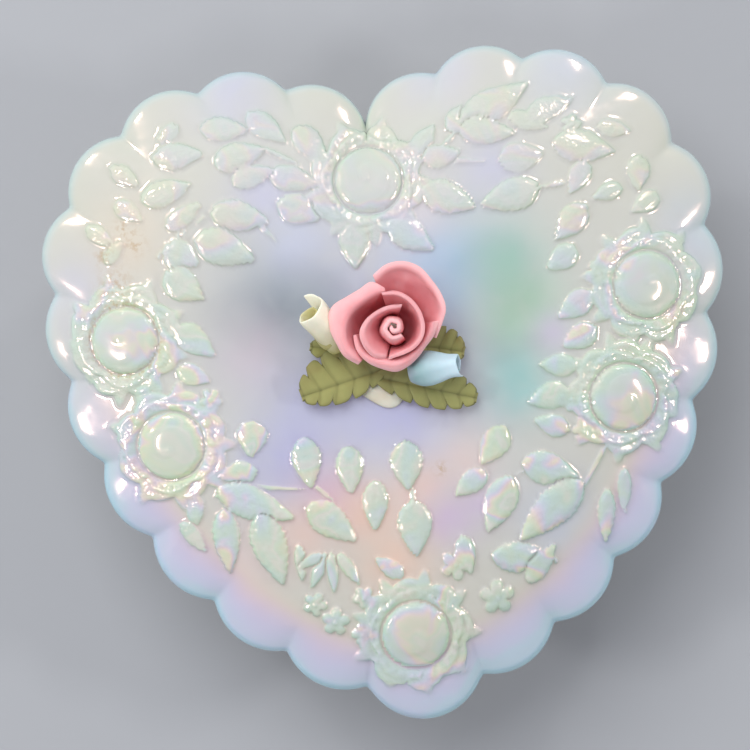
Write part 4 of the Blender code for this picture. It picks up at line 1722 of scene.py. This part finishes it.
# root, mouth, roll, turns, inner and outer radius, shape from foot to lip, strip lengths
BUDS = {
    "cream": dict(
        root=(-9.2, 2.4, 49.6), mouth=(-14.2, 9.8, 54.4), roll=2.2, turns=1.35,
        inner=0.9, outer=3.25, radii=(0.70, 0.86, 0.93, 0.97, 1.02, 1.10),
        lengths=(0.86, 0.90, 0.92, 0.94, 0.98, 1.08), plug=0.62,
    ),
    "blue": dict(
        root=(3.6, -2.6, 50.0), mouth=(12.4, -3.0, 53.2), roll=0.6, turns=1.4,
        inner=1.1, outer=3.35, radii=(0.80, 1.0, 0.98, 0.82, 0.64, 0.66),
        lengths=(0.93, 0.95, 0.95, 0.96, 0.98, 1.05), plug=0.7,
    ),
}


def make_bud(colour, bud):
    """The winding and the plug of one bud."""
    material = clays[colour + "_clay"]
    length = (Vector(bud["mouth"]) - Vector(bud["root"])).length
    lengths = [length * share for share in bud["lengths"]]
    strip = wound_grid(
        bud["turns"], 0.0, bud["inner"], bud["outer"], bud["radii"], lengths, 18, 80
    )
    strip = aimed(strip, bud["root"], bud["mouth"], bud["roll"])
    # painted shade: darker towards the root and on the inner windings, inside the mouth
    rise = np.linspace(0, 1, strip.shape[0])[:, None] ** 0.6
    share = np.linspace(0, 1, strip.shape[1])[None, :]
    shade = rise * (0.25 + 0.75 * ease(share, 0.2, 0.7))
    taper = edge_taper(*strip.shape[:2], 0.62, 0.3, 0.12, 0.06)
    wrap = sheet_mesh(colour + "_bud_wrap_clay", strip, taper, shade, material)
    add_clay(colour + "_bud_wrap_clay", wrap, colour + "_bud_wrap")
    r = bud["outer"] * 0.72
    heights = [bud["plug"] * length * share for share in (0.1, 0.3, 0.7, 0.95, 1)]
    plug = turned_grid((0.4 * r, r, r, 0.9 * r, 0.4 * r), heights)
    plug = aimed(plug, bud["root"], bud["mouth"], 0.0)
    core = plug_mesh(colour + "_bud_core_clay", plug, material)
    add_clay(colour + "_bud_core_clay", core, colour + "_bud_core")
    return length


for bud_colour, bud_shape in BUDS.items():
    print(bud_colour, "bud", round(make_bud(bud_colour, bud_shape), 1), "mm long")

# %% [markdown]
# ## The leaves
#
# The leaves were cut from an olive clay sheet with a toothed cutter and pressed with a veiner. A
# leaf is a grid again: its midrib from root to tip, and its half width from a rule with rounded
# teeth. The veins run out to the notches, and the sheet arches a little between them.

# %% Cut the leaves
# root, tip, width on the left of the midrib, width on its right, teeth, lift of the tip
LEAVES = {
    "leaf_lower_left": ((-1.0, -2.2), (-17.3, -5.9), 3.6, 6.6, 5, 0.5),
    "leaf_lower_right": ((-3.2, -3.6), (15.2, -9.6), 4.6, 3.6, 6, 0.3),
    "leaf_upper_right": ((5.0, 1.4), (13.6, -0.9), 4.2, 3.0, 4, 0.9),
    "leaf_upper_left": ((-6.0, 1.4), (-14.6, 3.2), 2.6, 2.2, 3, 0.4),
}
# height of the sheet's middle, and its thickness inside and at the edge, in mm
LEAF_MIDDLE = 46.75
LEAF_THICKNESS = 0.75
LEAF_EDGE = 0.4


def leaf_grid(root, tip, left, right, teeth, lift, rows=96, spread=33):
    """The middle surface of a serrated leaf and its painted shade."""
    root = np.array(root, float)
    run = np.array(tip, float) - root
    length = np.linalg.norm(run)
    ahead = run / length
    aside = np.array([-ahead[1], ahead[0]])
    t = np.linspace(0, 1, rows)[:, None]
    s = np.linspace(-1, 1, spread)[None, :]
    body = np.sin(math.pi * t**0.8 * 0.93 + 0.07) ** 0.7
    notch = (t * teeth + 0.15 + 0.07 * np.sin(11 * t + 4 * np.sign(s))) % 1.0
    tooth = 1 - 0.36 * np.exp(-((notch / 0.15) ** 1.4)) - 0.12 * (1 - notch) ** 3
    half = np.where(s > 0, left, right) * body * tooth
    slant = np.abs(s) * 0.10 * length * (1 - t) * t * 4
    along = t * length * 0.98 + slant
    flat = root + along[:, :, None] * ahead + (half * s)[:, :, None] * aside
    vein = np.cos((t * teeth + 0.15) * 2 * math.pi)
    height = LEAF_MIDDLE + lift * t**2 - 0.26 * np.exp(-((half * s) / 0.5) ** 2)
    height = height - 0.13 * vein * np.abs(s) ** 0.6 + 0.45 * np.abs(s) ** 1.5 * (t - 0.2)
    # painted shade in the midrib groove and along the veins; the colour is also darker at the very
    # edges
    shade = 0.78 - 0.3 * np.exp(-((half * s) / 0.4) ** 2) - 0.2 * np.maximum(vein, 0) ** 6
    shade = shade * (1 - 0.45 * np.abs(s) ** 8)
    grid = np.concatenate([flat, height[:, :, None]], axis=2)
    return grid + BOUQUET_SHIFT, shade


for leaf_name, leaf_shape in LEAVES.items():
    grid, shade = leaf_grid(*leaf_shape)
    thickness = edge_taper(*grid.shape[:2], LEAF_THICKNESS, LEAF_EDGE, 0.04, 0.08)
    leaf = sheet_mesh(leaf_name + "_clay", grid, thickness, shade, clays["olive_clay"])
    add_clay(leaf_name + "_clay", leaf, leaf_name)
    print(leaf_name, "reaches", grid[:, :, :2].min(axis=(0, 1)).round(1))

# %% [markdown]
# The bouquet is held by a dab of glue that has set cloudy and yellowish. It shows only where it has
# crept out from under the leaves, so a low loft with a wavy edge is enough.

# %% Add the dab of glue
GLUE_CENTRE = (-1.2, -1.0)
GLUE_RADIUS = 7.0
# share of the radius and height of each ring
GLUE_ROWS = [(0.15, 45.05), (0.9, 45.0), (1.0, 45.25), (0.96, 45.7), (0.8, 46.2), (0.15, 46.3)]


def glue_mesh():
    """An uneven, flattened dab that fills the gap between crown and leaves."""
    angle = np.linspace(0, 2 * math.pi, 49)[:-1]
    edge = GLUE_RADIUS + 0.8 * np.sin(3 * angle + 0.6) + 0.5 * np.sin(5 * angle + 2.0)
    middle = (GLUE_CENTRE[0], GLUE_CENTRE[1] + PATTERN_SHIFT)
    rings = []
    for share, height in GLUE_ROWS:
        x = middle[0] + edge * share * np.cos(angle)
        y = middle[1] + edge * share * 1.12 * np.sin(angle)
        rings.append(np.column_stack([x, y, np.full(len(angle), height)]))
    poles = [(*middle, GLUE_ROWS[end][1]) for end in (0, -1)]
    mesh = loft_mesh("glue_pad_dab", rings, *poles)
    store_values(mesh, "shade", np.full(len(mesh.vertices), 0.8))
    mesh.materials.append(clays["dried_glue"])
    return mesh


add_clay("glue_pad_dab", glue_mesh(), "glue_pad")
print("glue reaches", GLUE_RADIUS, "mm from its middle")
